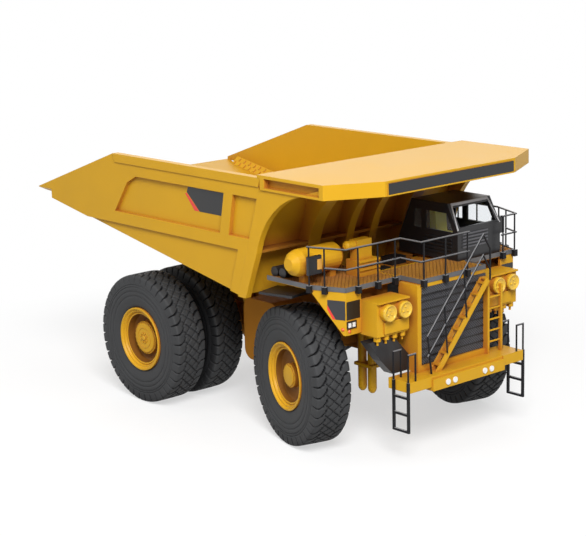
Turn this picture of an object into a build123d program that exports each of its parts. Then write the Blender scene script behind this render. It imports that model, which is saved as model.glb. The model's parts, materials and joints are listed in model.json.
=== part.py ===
"""A 1:50 scale model of a rigid mining dump truck, in millimetres.

X points forward, Y to the truck's left and Z up. The origin is on the ground, under the
middle of the model's box. Lengthwise places are given from the front axle, forward positive.
The front wheels stand turned to the truck's right, as the model is displayed.
"""
import os
from math import sqrt

from build123d import *

os.makedirs("parts", exist_ok=True)

# Overall layout
TAIL_REACH = 207.8
BUMPER_FRONT = 61.7
FOG_DEPTH = 0.5
WHEELBASE = 118.1
FRONT_AXLE_X = (TAIL_REACH - BUMPER_FRONT - FOG_DEPTH) / 2
REAR_AXLE_X = FRONT_AXLE_X - WHEELBASE
FIT_CLEARANCE = 0.05
MOVING_GAP = 0.6

# Wheels
TYRE_RADIUS = 35.6
RIM_RADIUS = 17.5
TYRE_WIDTH = 20.5
DUAL_WIDTH = 19.5
LUGS = 40
HALF_FACET = 180 / LUGS
GROOVE_FOOT_RADIUS = 31.2
GROOVE_INNER_END = 2.6
GROOVE_SPREAD = 0.24
BULGE_RADIUS = 27.0
BEAD_INSET = 1.8
CROWN_INSET = 0.8
RIM_INSET = 0.5
DUAL_RIM_INSET = 0.2
RIM_LIP = 1.3
RIM_STEP = 1.7
RIM_DISH = 6.5
DUAL_RIM_DISH = 7.7
RIM_WEB = 2.5
HUB_RISE = 3.4
HUB_STEP = 0.8
SLEEVE_WALL = 3.0
SLEEVE_INNER_END = -3.5
PAST = 1.0
DOME_KNEE = 0.45
DOME_SHOULDER = 0.84
DOME_TIP = 0.45
FRONT_STEER = -14.0
KINGPIN_Y = 37.0
FRONT_OFFSET = 17.0
FRONT_SPINDLE_RADIUS = 4.2
FRONT_HUB_RADIUS = 6.2
REAR_OUTER_Y = 61.0
REAR_INNER_Y = 34.75
REAR_SPINDLE_RADIUS = 6.0
REAR_HUB_RADIUS = 9.2
HUB_CAP_THICKNESS = 1.6
HUB_END_GAP = 0.3

# Front suspension
STRUT_ROD_RADIUS = 3.0
STRUT_BODY_RADIUS = 5.0
STRUT_FOOT_Z = 23.0
KNUCKLE_BOTTOM_Z = 27.5
KNUCKLE_TOP_Z = 44.0
KNUCKLE_RADIUS = 5.4
STRUT_TOP_Z = 72.0
STRUT_NUT = 1.5
BRACKET_HALF_LENGTH = 5.0
BRACKET_BOTTOM_Z = 48.0
BRACKET_TOP_Z = 60.0
ARM_REACH = 13.0
ARM_SIZE = 4.0
ARM_RISE = 3.0

# Chassis
RAIL_INNER_Y = 11.0
RAIL_THICKNESS = 6.0
RAIL_BOTTOM_Z = 42.0
RAIL_TOP_Z = 58.0
RAIL_FRONT = 46.0
AXLE_HOUSING_RADIUS = 11.0
AXLE_FLANGE_RADIUS = 13.5
AXLE_HALF_WIDTH = 24.6
AXLE_FLANGE_WIDTH = 2.5
RAIL_BEND_BACK = 60.0
RAIL_RISE_BACK = 100.0
RAIL_RISE_Z = 68.0
RAIL_TAIL_BACK = 138.0
RAIL_TAIL_TOP_Z = 83.0
RAIL_END = 5.0
CROSS_MEMBERS = (40.0, -40.0, -84.0)
CROSS_HALF_LENGTH = 3.0
CROSS_RISE = 8.0
REAR_CROSS_BACK = 134.0
REAR_CROSS_HALF = 4.0
REAR_CROSS_BOTTOM_Z = 66.0
REAR_CROSS_TOP_Z = 74.0
AXLE_NOSE_BACK = 87.0
AXLE_NOSE_HALF_WIDTH = 6.0
AXLE_NOSE_HALF_HEIGHT = 7.0
REAR_STRUT_TOP = (-133.5, 64.6)
REAR_STRUT_MIDDLE = (-130.5, 55.8)
REAR_STRUT_FOOT = (-126.5, 44.0)
REAR_STRUT_Y = 6.0
REAR_STRUT_ROD_RADIUS = 2.6
REAR_STRUT_BODY_RADIUS = 3.4

# Bed hinge and hoist
HINGE_BACK = 148.0
HINGE_Z = 78.0
HINGE_PIN_RADIUS = 2.0
HINGE_LUG_RADIUS = 4.5
HINGE_LUG_WIDTH = 4.5
HINGE_LUG_SPREAD = 8.0
LUG_SINK = 1.0
HOIST_Y = 21.2
HOIST_FOOT_BACK = 72.0
HOIST_FOOT_Z = 30.0
HOIST_FOOT_RADIUS = 4.0
HOIST_EYE_BACK = 93.0
HOIST_EYE_Z = 81.5
HOIST_BARREL_RADIUS = 3.1
HOIST_ROD_RADIUS = 1.9
HOIST_BARREL_LENGTH = 49.0
HOIST_ROD_LENGTH = 49.0
HOIST_ROD_EYE_RADIUS = 2.6
HOIST_EYE_RADIUS = 3.0
HOIST_EYE_WIDTH = 4.4
HOIST_PIN_RADIUS = 1.4
HOIST_EAR_THICKNESS = 2.5
HOIST_EAR_SPREAD = 4.0
HOIST_EAR_DROP = 2.0

# Dump bed
BED_HALF_WIDTH = 72.0
BED_WALL = 3.5
BED_FLOOR = 2.6
BED_TOP_Z = 137.2
BED_TOP_BACK = 132.4
TAIL_TIP_Z = 110.7
TAIL_EDGE_Z = 106.6
BELLY_FRONT = -29.5
BELLY_FRONT_Z = 74.7
FRONT_WALL_TOP = -9.2
FRONT_WALL_THICKNESS = 3.0
CHINE_RISE = 8.3
CHINE_INSET = 9.0
RAIL_BOX_HEIGHT = 4.6
RAIL_BOX_PROUD = 0.6
LOWER_RAIL_BOTTOM_Z = 99.0
RECESS_DEPTH = 2.0
RECESS_TOP_Z = 126.5
RECESS_BOTTOM_Z = 105.5
RECESS_REAR_TOP = -112.6
RECESS_REAR_FOOT = -133.0
RECESS_CHAMFER = 4.0
RIB_FRONT = -31.2
RIB_WIDTH = 7.0
RIB_LEAN = 4.2
LOWER_RAIL_REAR = -163.0
LOWER_PANEL_DEPTH = 1.5
FLANGE_WIDTH = 6.8
CHINE_LIP = 1.5
CHINE_LEAD = 10.0
TAIL_CUT_LENGTH = 14.0
TAIL_CUT_Y = 64.5
TAIL_CUT_Z = 110.3
BELLY_BEAMS = (-52.0, -112.0, -168.0)
BELLY_BEAM_LENGTH = 4.0
BELLY_BEAM_DEPTH = 2.2
BELLY_BEAM_HALF_WIDTH = 60.0

# Canopy
CANOPY_FRONT = 50.4
CANOPY_SHOULDER = 36.3
CANOPY_REAR = -11.0
CANOPY_OVERHANG = 0.8
CANOPY_HALF_WIDTH = BED_HALF_WIDTH + CANOPY_OVERHANG
CANOPY_FRONT_HALF_WIDTH = 46.0
CANOPY_PLATE = 1.6
CHANNEL_DEPTH = 3.0
CHANNEL_LIP = 1.2
CHANNEL_REAR = -6.0
CHANNEL_FRONT = 33.5
GUSSET_REAR = 22.0
GUSSET_THICKNESS = 1.2
FASCIA_HALF_WIDTH = 44.5
FASCIA_PROUD = 0.5
CANOPY_TOP_Z = BED_TOP_Z + CANOPY_PLATE
CANOPY_EDGE_DEPTH = 5.8
CANOPY_BOTTOM_Z = BED_TOP_Z - CANOPY_EDGE_DEPTH
ARCH_CENTRE_FORWARD = 29.0
ARCH_DROP = 4.8
ARCH_TOP_Z = BED_TOP_Z - ARCH_DROP
ARCH_RADIUS = 44.2

# Decks and front end
DECK_TOP_Z = 87.0
DECK_THICKNESS = 2.0
DECK_REAR = -12.0
DECK_SIDE_Y = 67.0
DECK_SHOULDER = 19.0
DECK_FRONT = 37.0
DECK_FRONT_Y = 60.0
DECK_CENTRE_HALF_WIDTH = 23.1
DECK_CENTRE_FRONT = 51.0
SKIRT_BOTTOM_Z = 64.0
SKIRT_THICKNESS = 1.5
SKIRT_INNER_Y = 50.0
SKIRT_FOOT = 1.5
LEG_REAR = 4.0
LEG_FRONT = 8.0
LEG_REACH = 3.0
LEG_RISE = 2.0
DECK_CENTRE_REAR = 20.0
GRILLE_BOTTOM_Z = 44.0
GRILLE_FRONT = 49.4
GRILLE_DEPTH = 1.6
GRILLE_BANDS = 9
GRILLE_DIAMONDS = 11
MESH_BAR = 0.35
MESH_DEPTH = 0.6
BUMPER_DEPTH = 5.0
BUMPER_HALF_WIDTH = 25.9
BUMPER_TOP_Z = 39.9
BUMPER_BOTTOM_Z = 34.1
PLATFORM_SKIRT = 5.3
PLATFORM_TOP_Z = 41.3
PLATFORM_HALF_WIDTH = 41.0
PLATFORM_REAR = 45.9
PLATFORM_FRONT = 60.6

# Cab, its heights taken from the canopy above it
CAB_INNER_Y = 20.0
CAB_OUTER_Y = 52.0
CAB_WALL = 1.2
CAB_REAR = -7.0
CAB_FRONT = 35.0
CANOPY_CLEARANCE = 15.4
CAB_ROOF_Z = CANOPY_BOTTOM_Z - CANOPY_CLEARANCE
CAB_HEIGHT = CAB_ROOF_Z - DECK_TOP_Z
CAB_SILL_Z = DECK_TOP_Z + 0.55 * CAB_HEIGHT
CAB_SHOULDER_Z = DECK_TOP_Z + 0.28 * CAB_HEIGHT
CAB_ROOF_FRONT = 27.8
CAB_ROOF_REAR = 2.5
CAB_CORNER_INSET = 2.4
WINDOW_TOP_Z = DECK_TOP_Z + 0.83 * CAB_HEIGHT
WINDOW_BOTTOM_Z = DECK_TOP_Z + 0.5 * CAB_HEIGHT
WINDOW_BAR = 3.5
REAR_WINDOW_REAR = 4.0
REAR_WINDOW_FRONT = 9.5
LOUVRES = 5
LOUVRE_REAR = 12.0
LOUVRE_FRONT = 31.0
LOUVRE_PROUD = 0.5
LOUVRE_BOTTOM_Z = DECK_TOP_Z + 0.1 * CAB_HEIGHT
LOUVRE_TOP_Z = DECK_TOP_Z + 0.42 * CAB_HEIGHT
SEAT_REAR = 4.0
SEAT_LENGTH = 12.0
SEAT_HALF_WIDTH = 4.0
SEAT_HEIGHT = 0.34 * CAB_HEIGHT
SEAT_BACK_HEIGHT = 0.72 * CAB_HEIGHT
SEAT_BACK_THICKNESS = 4.0

# Railings and ladders
RAIL_BAR_RADIUS = 0.5
RAILING_HEIGHT = 19.5
LADDER_INNER = 50.1
LADDER_OUTER = 60.0
LADDER_BOTTOM_Z = 16.0
LADDER_BAR = 1.2
LADDER_RUNGS = 3

# Ribs under the canopy
RIB_FOOT = 6.0
MIDDLE_RIB_INNER_Y = 6.0
MIDDLE_RIB_OUTER_Y = 11.0
OUTER_RIB_INNER_Y = 29.5
OUTER_RIB_OUTER_Y = 37.5
RIB_CLEARANCE = 0.1
SHELF_Z = 98.6
SHELF_THICKNESS = 1.4
SHELF_SETBACK = 0.3

# Engine block
ENGINE_REAR = -12.0
ENGINE_FRONT = 30.0
ENGINE_TOP_Z = 80.0
ENGINE_SUMP_HALF_WIDTH = RAIL_INNER_Y - 0.5

# Lamps, fittings and stairs
FASCIA_HEIGHT = 7.0
GRILLE_FRAME_REAR = 38.0
GRILLE_FRAME_FRONT = 51.0
GRILLE_FRAME_WIDTH = 2.6
FOG_Y = 13.3
FOG_SPACING = 5.0
FOG_Z = 37.0
FOG_SIDES = 16
FOG_RADIUS = 1.5
HOOP_TOP_Z = 55.0
HOOP_DEPTH = 5.0
LAMP_REAR = 36.0
LAMP_BOX_FRONT = 47.8
LAMP_FRONT = 50.8
LAMP_HOOD = 0.9
LAMP_HOOD_FRONT = 49.2
LAMP_PANEL_FRONT = 48.5
LAMP_PANEL_TOP_Z = 70.0
LAMP_PANEL_INSET = 4.4
LAMP_CLEARANCE = 3.3
LAMP_INNER_EDGE = DECK_CENTRE_HALF_WIDTH + GRILLE_FRAME_WIDTH + LAMP_CLEARANCE
LAMP_BOX_BOTTOM_Z = 63.0
LAMP_BOX_TOP_Z = 80.3
LAMP_PAIR_INSET = 4.8
LAMP_SPACING = 10.4
LAMP_RADIUS = 4.2
LAMP_HOOD_GAP = 0.4
LAMP_Z = LAMP_BOX_TOP_Z - LAMP_HOOD - LAMP_HOOD_GAP - LAMP_RADIUS
LAMP_SIDES = 20
STUDS = 4
STUD_RADIUS = 1.9
STUD_INSET = STUD_RADIUS + 0.3
STUD_NUT_HEIGHT = 2.4
STUD_LENGTH = 2.0
GLASS_THICKNESS = 0.6
SEAT_Y = 36.0
SOCKET_WIDTH = 2.4
SOCKET_HEIGHT = 3.5
SOCKET_RISE = 0.6
POST_RADIUS = 0.45
STAIR_FOOT_Y = -18.6
STAIR_TOP_Y = 18.0
STAIR_RUN_GAP = 8.0
STAIR_REAR = 51.6
STAIR_FRONT = 56.5
STAIR_STEPS = 8
FOOT_DROP = 5.0
TREAD_THICKNESS = 0.8
STAIR_RAIL_HEIGHT = 26.5
STAIR_RAIL_LEAN = 8.0
STAIR_RAIL_LOW_Y = -25.0
STAIR_RAIL_APEX_Y = 14.8
STAIR_RAIL_CURL = 2.5
MID_RAIL_DROP = 10.4
STRINGER_THICKNESS = 0.9
STRINGER_DEPTH = 3.8
GRILLE_LADDER_Y = DECK_CENTRE_HALF_WIDTH
GRILLE_LADDER_WIDTH = 9.8
GRILLE_LADDER_RUNGS = 5
GRILLE_LADDER_RAIL = 1.4
GRILLE_LADDER_DEPTH = 1.6
GRILLE_LADDER_TOP_Z = 76.0
TANK_REAR = -69.2
TANK_FRONT = -41.0
TANK_BOTTOM_Z = 27.7
TANK_TOP_Z = 61.7
TANK_OUTER_Y = 36.0
TANK_CORNER = 6.0
ACCUMULATOR_FIRST = 12.0
ACCUMULATOR_SPACING = 7.0
ACCUMULATOR_Y = 26.0
ACCUMULATOR_RADIUS = 2.3
ACCUMULATOR_BOTTOM_Z = 24.5
ACCUMULATOR_TOP_Z = 56.0
STRAP_REACH = 3.0
STRAP_Z = 38.0
STRAP_HEIGHT = 1.5
CLAMP_Z = 50.0
CLAMP_HEIGHT = 4.0
AIR_CLEANER_X = 10.0
AIR_CLEANER_Z = 97.0
AIR_CLEANER_RADIUS = 6.8
AIR_CLEANER_DOME = 6.0
AIR_CLEANER_OUTER_Y = 72.4
AIR_CLEANER_INNER_Y = 40.0
AIR_CLEANER_SIDES = 24
STAND_INSET = 5.0
STAND_HALF = 2.0
PIPE_FIRST = -3.0
PIPE_SPACING = 6.0
PIPE_RADIUS = 2.6
PIPE_SIDES = 12
PIPE_OUTER_Y = 65.0
PIPE_INNER_Y = 30.0
HOOD_REAR = 14.0
HOOD_FRONT = 24.0
HOOD_OUTER_Y = 38.0
HOOD_TOP_Z = 95.0
HOOD_SLOTS = 3
HOOD_SLOT_HEIGHT = 0.9
HOOD_SLOT_DEPTH = 0.6
INTAKE_REAR = 16.0
INTAKE_FRONT = 21.0
INTAKE_OUTER_Y = 37.0
INTAKE_INNER_Y = 27.0
INTAKE_TOP_Z = 105.0
INTAKE_PIPE_RADIUS = 2.4
INTAKE_PIPE_LENGTH = 6.0
STEP_X = -4.5
STEP_Y = 62.5
STEP_Z = 79.5
STEP_LENGTH = 20.0
STEP_WIDTH = 16.0
STEP_THICKNESS = 1.2
STEP_TURN = 14.0
STEP_ARM = 3.0
DUCT_REAR = 39.0
DUCT_FRONT = 45.0
DUCT_OUTER_TOP_Y = 53.0
DUCT_INNER_TOP_Y = 36.0
DUCT_OUTER_MIDDLE_Y = 44.8
DUCT_OUTER_FOOT_Y = 37.2
DUCT_INNER_FOOT_Y = 26.0
DUCT_TOP_Z = 60.5
DUCT_MIDDLE_Z = 49.9
DUCT_FOOT_Z = 42.0
MIRROR_INNER_Y = 61.5
MIRROR_OUTER_Y = 70.0
MIRROR_BOTTOM_Z = 93.0
MIRROR_TOP_Z = 102.0
MIRROR_THICKNESS = 1.6

LEFT, RIGHT = 1, -1
SIDES = {"left": LEFT, "right": RIGHT}


def ahead(distance):
    """Turns a distance ahead of the front axle into an X place."""
    return FRONT_AXLE_X + distance


def save(builder, name):
    """Labels a finished piece and writes it to its own file."""
    builder.part.label = name
    export_step(builder.part, f"parts/{name}.step")


def side_plate(points, near_y, far_y, mode=Mode.ADD):
    """Adds an upright plate whose side outline is given as (ahead, up) points."""
    with BuildSketch(Plane.XZ.offset(-max(near_y, far_y))) as outline:
        with BuildLine():
            Polyline(*[(ahead(x), z) for x, z in points], close=True)
        make_face()
    extrude(outline.sketch, amount=abs(far_y - near_y), mode=mode)


def block(rear, front, near_y, far_y, bottom, top, mode=Mode.ADD):
    """Adds a square-cornered block between two places ahead of the axle."""
    middle = ((ahead(rear) + ahead(front)) / 2, (near_y + far_y) / 2, (bottom + top) / 2)
    with Locations(middle):
        Box(front - rear, abs(far_y - near_y), top - bottom, mode=mode)


def bar(start, end, radius, mode=Mode.ADD):
    """Adds a straight round bar between two (ahead, y, z) points."""
    first = Vector(ahead(start[0]), start[1], start[2])
    run = Vector(ahead(end[0]), end[1], end[2]) - first
    with Locations(Plane(origin=first, z_dir=run)):
        Cylinder(radius, run.length, align=(Align.CENTER, Align.CENTER, Align.MIN), mode=mode)


def wire(points, radius, sides=6):
    """Adds a bent wire through (ahead, y, z) points, with flats and mitred corners."""
    with BuildLine() as line:
        Polyline(*[(ahead(x), y, z) for x, y, z in points])
    with BuildSketch(Plane(origin=line.line @ 0, z_dir=line.line % 0)) as section:
        RegularPolygon(radius, sides)
    sweep(section.sketch, path=line.line, transition=Transition.RIGHT)


def domed(start, direction, length, radius, dome, sides=20, near_dome=0.0):
    """Adds a faceted barrel from a point along a direction, domed at its far end or at both."""
    base = Plane(origin=(ahead(start[0]), start[1], start[2]), z_dir=direction)
    near = [(0, radius * DOME_TIP), (near_dome * DOME_KNEE, radius * DOME_SHOULDER),
            (near_dome, radius)] if near_dome else [(0, radius)]
    far = [(length - dome, radius), (length - dome * DOME_KNEE, radius * DOME_SHOULDER),
           (length, radius * DOME_TIP)]
    sections = []
    for place, size in near + far:
        with BuildSketch(base.offset(place)) as ring:
            RegularPolygon(size, sides)
        sections.append(ring.sketch)
    loft(sections, ruled=True)


# Wheels


def wheel_place(x, y, side, steer=0.0):
    """A plane across a wheel's middle, facing outboard, on which a turned piece is placed."""
    outboard = Vector(0, side, 0).rotate(Axis.Z, steer)
    forward = Vector(1, 0, 0).rotate(Axis.Z, steer)
    return Plane(origin=(x, y, TYRE_RADIUS), x_dir=forward, z_dir=outboard)


def front_wheel_place(side):
    """The place of a front wheel, offset from its kingpin and turned with it."""
    offset = Vector(0, side * FRONT_OFFSET, 0).rotate(Axis.Z, FRONT_STEER)
    return wheel_place(FRONT_AXLE_X + offset.X, side * KINGPIN_Y + offset.Y, side, FRONT_STEER)


def rear_wheel_place(side):
    """The place of a rear pair, midway between its two tyres."""
    return wheel_place(REAR_AXLE_X, side * (REAR_OUTER_Y + REAR_INNER_Y) / 2, side)


def faceted(radius, near, far, mode=Mode.ADD, hole=0.0):
    """Adds a disc about Z with one flat for each lug, round a hole if it has one."""
    with BuildSketch(Plane.XY.offset(near)) as outline:
        RegularPolygon(radius, LUGS, major_radius=False, rotation=HALF_FACET)
        if hole:
            Circle(hole, mode=Mode.SUBTRACT)
    extrude(outline.sketch, amount=far - near, mode=mode)


def tyre(width):
    """A tyre about Z: bulged walls, a flat crown and tapering grooves between its lugs."""
    half = width / 2
    shoulder = half - CROWN_INSET
    stations = [(half - BEAD_INSET, RIM_RADIUS - RIM_INSET), (half, BULGE_RADIUS),
                (shoulder, TYRE_RADIUS)]
    both_sides = [(-place, radius) for place, radius in stations] + stations[::-1]
    sections = []
    for place, radius in both_sides:
        with BuildSketch(Plane.XY.offset(place)) as ring:
            RegularPolygon(radius, LUGS, major_radius=False, rotation=HALF_FACET)
        sections.append(ring.sketch)
    climb = (TYRE_RADIUS - GROOVE_FOOT_RADIUS) / (shoulder - GROOVE_INNER_END)
    foot = GROOVE_FOOT_RADIUS - climb * PAST
    height = TYRE_RADIUS + PAST - foot
    with BuildPart() as groove:
        with BuildSketch(Plane.XY.offset(shoulder + PAST)) as vee:
            with BuildLine():
                Polyline((foot, 0), (foot + height, height * GROOVE_SPREAD),
                         (foot + height, -height * GROOVE_SPREAD), close=True)
            make_face()
        extrude(vee.sketch, amount=half * sqrt(1 + climb**2), dir=(climb, 0, -1))
    far_groove = mirror(groove.part, about=Plane.XY)
    with BuildPart() as whole:
        loft(sections, ruled=True)
        faceted(RIM_RADIUS, -half, half, Mode.SUBTRACT)
        with PolarLocations(0, LUGS, start_angle=HALF_FACET):
            add(groove.part, mode=Mode.SUBTRACT)
            add(far_groove, mode=Mode.SUBTRACT)
    return whole.part


def rim(lip, dish, hub, spindle, sleeve_end):
    """A rim about Z: a barrel stepped down to its dish, and a blind hub on a sleeve."""
    cap = dish + HUB_RISE
    sleeve = spindle + SLEEVE_WALL
    with BuildPart() as whole:
        faceted(RIM_RADIUS, -lip, lip)
        for step in (1, 2):
            faceted(RIM_RADIUS - step * RIM_LIP, lip - step * RIM_STEP, lip + PAST, Mode.SUBTRACT)
        faceted(RIM_RADIUS - 3 * RIM_LIP, dish, lip + PAST, Mode.SUBTRACT)
        with Locations((0, 0, dish)):
            Cylinder(hub, HUB_RISE, align=(Align.CENTER, Align.CENTER, Align.MIN))
            Cylinder(hub - HUB_STEP, HUB_RISE + HUB_STEP,
                     align=(Align.CENTER, Align.CENTER, Align.MIN))
        faceted(RIM_RADIUS - RIM_LIP, -lip - PAST, dish - RIM_WEB, Mode.SUBTRACT, hole=sleeve)
        with Locations((0, 0, sleeve_end)):
            Cylinder(sleeve + PAST, lip + sleeve_end + PAST, mode=Mode.SUBTRACT,
                     align=(Align.CENTER, Align.CENTER, Align.MAX))
        with Locations((0, 0, cap - HUB_CAP_THICKNESS)):
            Cylinder(spindle + FIT_CLEARANCE, cap + lip, mode=Mode.SUBTRACT,
                     align=(Align.CENTER, Align.CENTER, Align.MAX))
    return whole.part


FRONT_LIP = TYRE_WIDTH / 2 - RIM_INSET
FRONT_DISH = FRONT_LIP - RIM_DISH
DUAL_OFFSET = (REAR_OUTER_Y - REAR_INNER_Y) / 2
REAR_LIP = DUAL_OFFSET + DUAL_WIDTH / 2 - DUAL_RIM_INSET
REAR_DISH = REAR_LIP - DUAL_RIM_DISH
front_tyre_shape = tyre(TYRE_WIDTH)
rear_tyre_shape = tyre(DUAL_WIDTH)
front_rim_shape = rim(FRONT_LIP, FRONT_DISH, FRONT_HUB_RADIUS, FRONT_SPINDLE_RADIUS,
                      SLEEVE_INNER_END)
rear_rim_shape = rim(REAR_LIP, REAR_DISH, REAR_HUB_RADIUS, REAR_SPINDLE_RADIUS, -REAR_LIP)

for name, side in SIDES.items():
    with BuildPart() as front_rim:
        with Locations(front_wheel_place(side)):
            add(front_rim_shape)
    save(front_rim, f"front_rim_{name}")

    with BuildPart() as front_tyre:
        with Locations(front_wheel_place(side)):
            add(front_tyre_shape)
    save(front_tyre, f"front_tyre_{name}")

    with BuildPart() as rear_rim:
        with Locations(rear_wheel_place(side)):
            add(rear_rim_shape)
    save(rear_rim, f"rear_rim_{name}")

    with BuildPart() as rear_tyres:
        pair = rear_wheel_place(side)
        with Locations(pair.offset(DUAL_OFFSET), pair.offset(-DUAL_OFFSET)):
            add(rear_tyre_shape)
    save(rear_tyres, f"rear_tyres_{name}")

# Steering knuckles: a collar on the strut's rod, a spindle for the wheel and a steering arm

SPINDLE_END = FRONT_OFFSET + FRONT_DISH + HUB_RISE - HUB_CAP_THICKNESS - HUB_END_GAP

for name, side in SIDES.items():
    outboard = Vector(0, side, 0).rotate(Axis.Z, FRONT_STEER)
    rearward = Vector(-1, 0, 0).rotate(Axis.Z, FRONT_STEER)
    kingpin = Vector(FRONT_AXLE_X, side * KINGPIN_Y, 0)
    with BuildPart() as knuckle:
        with BuildSketch(Plane.XY.offset(KNUCKLE_BOTTOM_Z)):
            with Locations((kingpin.X, kingpin.Y)):
                Circle(KNUCKLE_RADIUS)
        extrude(amount=KNUCKLE_TOP_Z - KNUCKLE_BOTTOM_Z)
        with Locations(Plane(origin=kingpin + Vector(0, 0, TYRE_RADIUS), z_dir=outboard)):
            Cylinder(FRONT_SPINDLE_RADIUS, SPINDLE_END,
                     align=(Align.CENTER, Align.CENTER, Align.MIN))
        arm_root = kingpin + Vector(0, 0, KNUCKLE_BOTTOM_Z + ARM_RISE)
        with Locations(Plane(origin=arm_root, x_dir=outboard, z_dir=rearward)):
            Box(ARM_SIZE, ARM_SIZE, ARM_REACH, align=(Align.CENTER, Align.CENTER, Align.MIN))
        with Locations((kingpin.X, kingpin.Y, (KNUCKLE_BOTTOM_Z + KNUCKLE_TOP_Z) / 2)):
            Cylinder(STRUT_ROD_RADIUS + FIT_CLEARANCE, KNUCKLE_TOP_Z, mode=Mode.SUBTRACT)
    save(knuckle, f"knuckle_{name}")

# Front struts, whose rods are the kingpins, with the brackets that hold them to the frame

with BuildPart() as front_struts:
    for side in SIDES.values():
        foot = (0, side * KINGPIN_Y, STRUT_FOOT_Z)
        collar_top = (0, side * KINGPIN_Y, KNUCKLE_BOTTOM_Z - FIT_CLEARANCE)
        body_bottom = (0, side * KINGPIN_Y, KNUCKLE_TOP_Z + FIT_CLEARANCE)
        bar(foot, (0, side * KINGPIN_Y, STRUT_TOP_Z), STRUT_ROD_RADIUS)
        bar(foot, collar_top, STRUT_ROD_RADIUS + STRUT_NUT)
        bar(body_bottom, (0, side * KINGPIN_Y, STRUT_TOP_Z), STRUT_BODY_RADIUS)
        rail_face = RAIL_INNER_Y + RAIL_THICKNESS
        block(-BRACKET_HALF_LENGTH, BRACKET_HALF_LENGTH, side * rail_face, side * KINGPIN_Y,
              BRACKET_BOTTOM_Z, BRACKET_TOP_Z)
save(front_struts, "front_struts")

# Chassis frame: two rails rising to the bed hinge, cross members and hoist brackets

RAIL_DEPTH = RAIL_TOP_Z - RAIL_BOTTOM_Z
RAIL_SIDE = [(RAIL_FRONT, RAIL_BOTTOM_Z), (RAIL_FRONT, RAIL_TOP_Z), (-RAIL_BEND_BACK, RAIL_TOP_Z),
             (-RAIL_RISE_BACK, RAIL_RISE_Z), (-RAIL_TAIL_BACK, RAIL_TAIL_TOP_Z),
             (-HINGE_BACK - RAIL_END, RAIL_TAIL_TOP_Z), (-HINGE_BACK - RAIL_END, HINGE_Z - RAIL_END),
             (-HINGE_BACK + RAIL_DEPTH, HINGE_Z - RAIL_DEPTH),
             (-RAIL_RISE_BACK, RAIL_RISE_Z - RAIL_DEPTH), (-RAIL_BEND_BACK, RAIL_BOTTOM_Z)]
HOIST_BRACKET = [(shift * HOIST_FOOT_RADIUS - HOIST_FOOT_BACK, z) for shift, z in (
    (1.5, RAIL_TOP_Z - HOIST_FOOT_RADIUS), (-1.5, RAIL_TOP_Z - HOIST_FOOT_RADIUS),
    (-1, HOIST_FOOT_Z), (-0.5, HOIST_FOOT_Z - HOIST_FOOT_RADIUS),
    (0.5, HOIST_FOOT_Z - HOIST_FOOT_RADIUS), (1, HOIST_FOOT_Z))]
RAIL_OUTER_Y = RAIL_INNER_Y + RAIL_THICKNESS

with BuildPart() as chassis_frame:
    for side in SIDES.values():
        side_plate(RAIL_SIDE, side * RAIL_INNER_Y, side * RAIL_OUTER_Y)
        side_plate(HOIST_BRACKET, side * RAIL_INNER_Y, side * RAIL_OUTER_Y)
        bar((-HOIST_FOOT_BACK, side * RAIL_OUTER_Y, HOIST_FOOT_Z),
            (-HOIST_FOOT_BACK, side * (HOIST_Y + HOIST_EYE_WIDTH / 2), HOIST_FOOT_Z),
            HOIST_PIN_RADIUS)
    for place in CROSS_MEMBERS:
        block(place - CROSS_HALF_LENGTH, place + CROSS_HALF_LENGTH, -RAIL_INNER_Y, RAIL_INNER_Y,
              RAIL_BOTTOM_Z + CROSS_RISE, RAIL_TOP_Z - 1)
    block(-REAR_CROSS_BACK - REAR_CROSS_HALF, -REAR_CROSS_BACK + REAR_CROSS_HALF, -RAIL_INNER_Y,
          RAIL_INNER_Y, REAR_CROSS_BOTTOM_Z, REAR_CROSS_TOP_Z)
    bar((-HINGE_BACK, -RAIL_INNER_Y, HINGE_Z), (-HINGE_BACK, RAIL_INNER_Y, HINGE_Z),
        HINGE_PIN_RADIUS)
save(chassis_frame, "chassis_frame")

# Rear axle housing with its spindles, its nose to the cross member and its two struts

AXLE_Z = TYRE_RADIUS
with BuildPart() as rear_axle_housing:
    back = -WHEELBASE
    bar((back, -AXLE_HALF_WIDTH, AXLE_Z), (back, AXLE_HALF_WIDTH, AXLE_Z), AXLE_HOUSING_RADIUS)
    for side in SIDES.values():
        flange = side * (AXLE_HALF_WIDTH - AXLE_FLANGE_WIDTH)
        bar((back, flange, AXLE_Z), (back, side * AXLE_HALF_WIDTH, AXLE_Z), AXLE_FLANGE_RADIUS)
        pair_y = (REAR_OUTER_Y + REAR_INNER_Y) / 2
        spindle_end = pair_y + REAR_DISH + HUB_RISE - HUB_CAP_THICKNESS - HUB_END_GAP
        bar((back, 0, AXLE_Z), (back, side * spindle_end, AXLE_Z), REAR_SPINDLE_RADIUS)
    root = back + AXLE_HOUSING_RADIUS / 2
    side_plate([(root, AXLE_Z - AXLE_NOSE_HALF_HEIGHT), (root, AXLE_Z + AXLE_NOSE_HALF_HEIGHT),
                (-AXLE_NOSE_BACK, RAIL_TOP_Z - 2), (-AXLE_NOSE_BACK, RAIL_BOTTOM_Z + CROSS_RISE)],
               -AXLE_NOSE_HALF_WIDTH, AXLE_NOSE_HALF_WIDTH)
save(rear_axle_housing, "rear_axle_housing")

with BuildPart() as rear_struts:
    for side in SIDES.values():
        top, middle, foot = [(x, side * REAR_STRUT_Y, z) for x, z in (
            REAR_STRUT_TOP, REAR_STRUT_MIDDLE, REAR_STRUT_FOOT)]
        bar(top, foot, REAR_STRUT_ROD_RADIUS)
        bar(top, middle, REAR_STRUT_BODY_RADIUS)
save(rear_struts, "rear_struts")

# Dump bed: sloping floor, framed sides with sunk panels, and the front wall

FLOOR_SLOPE = (TAIL_EDGE_Z - BELLY_FRONT_Z) / (TAIL_REACH + BELLY_FRONT)


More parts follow.
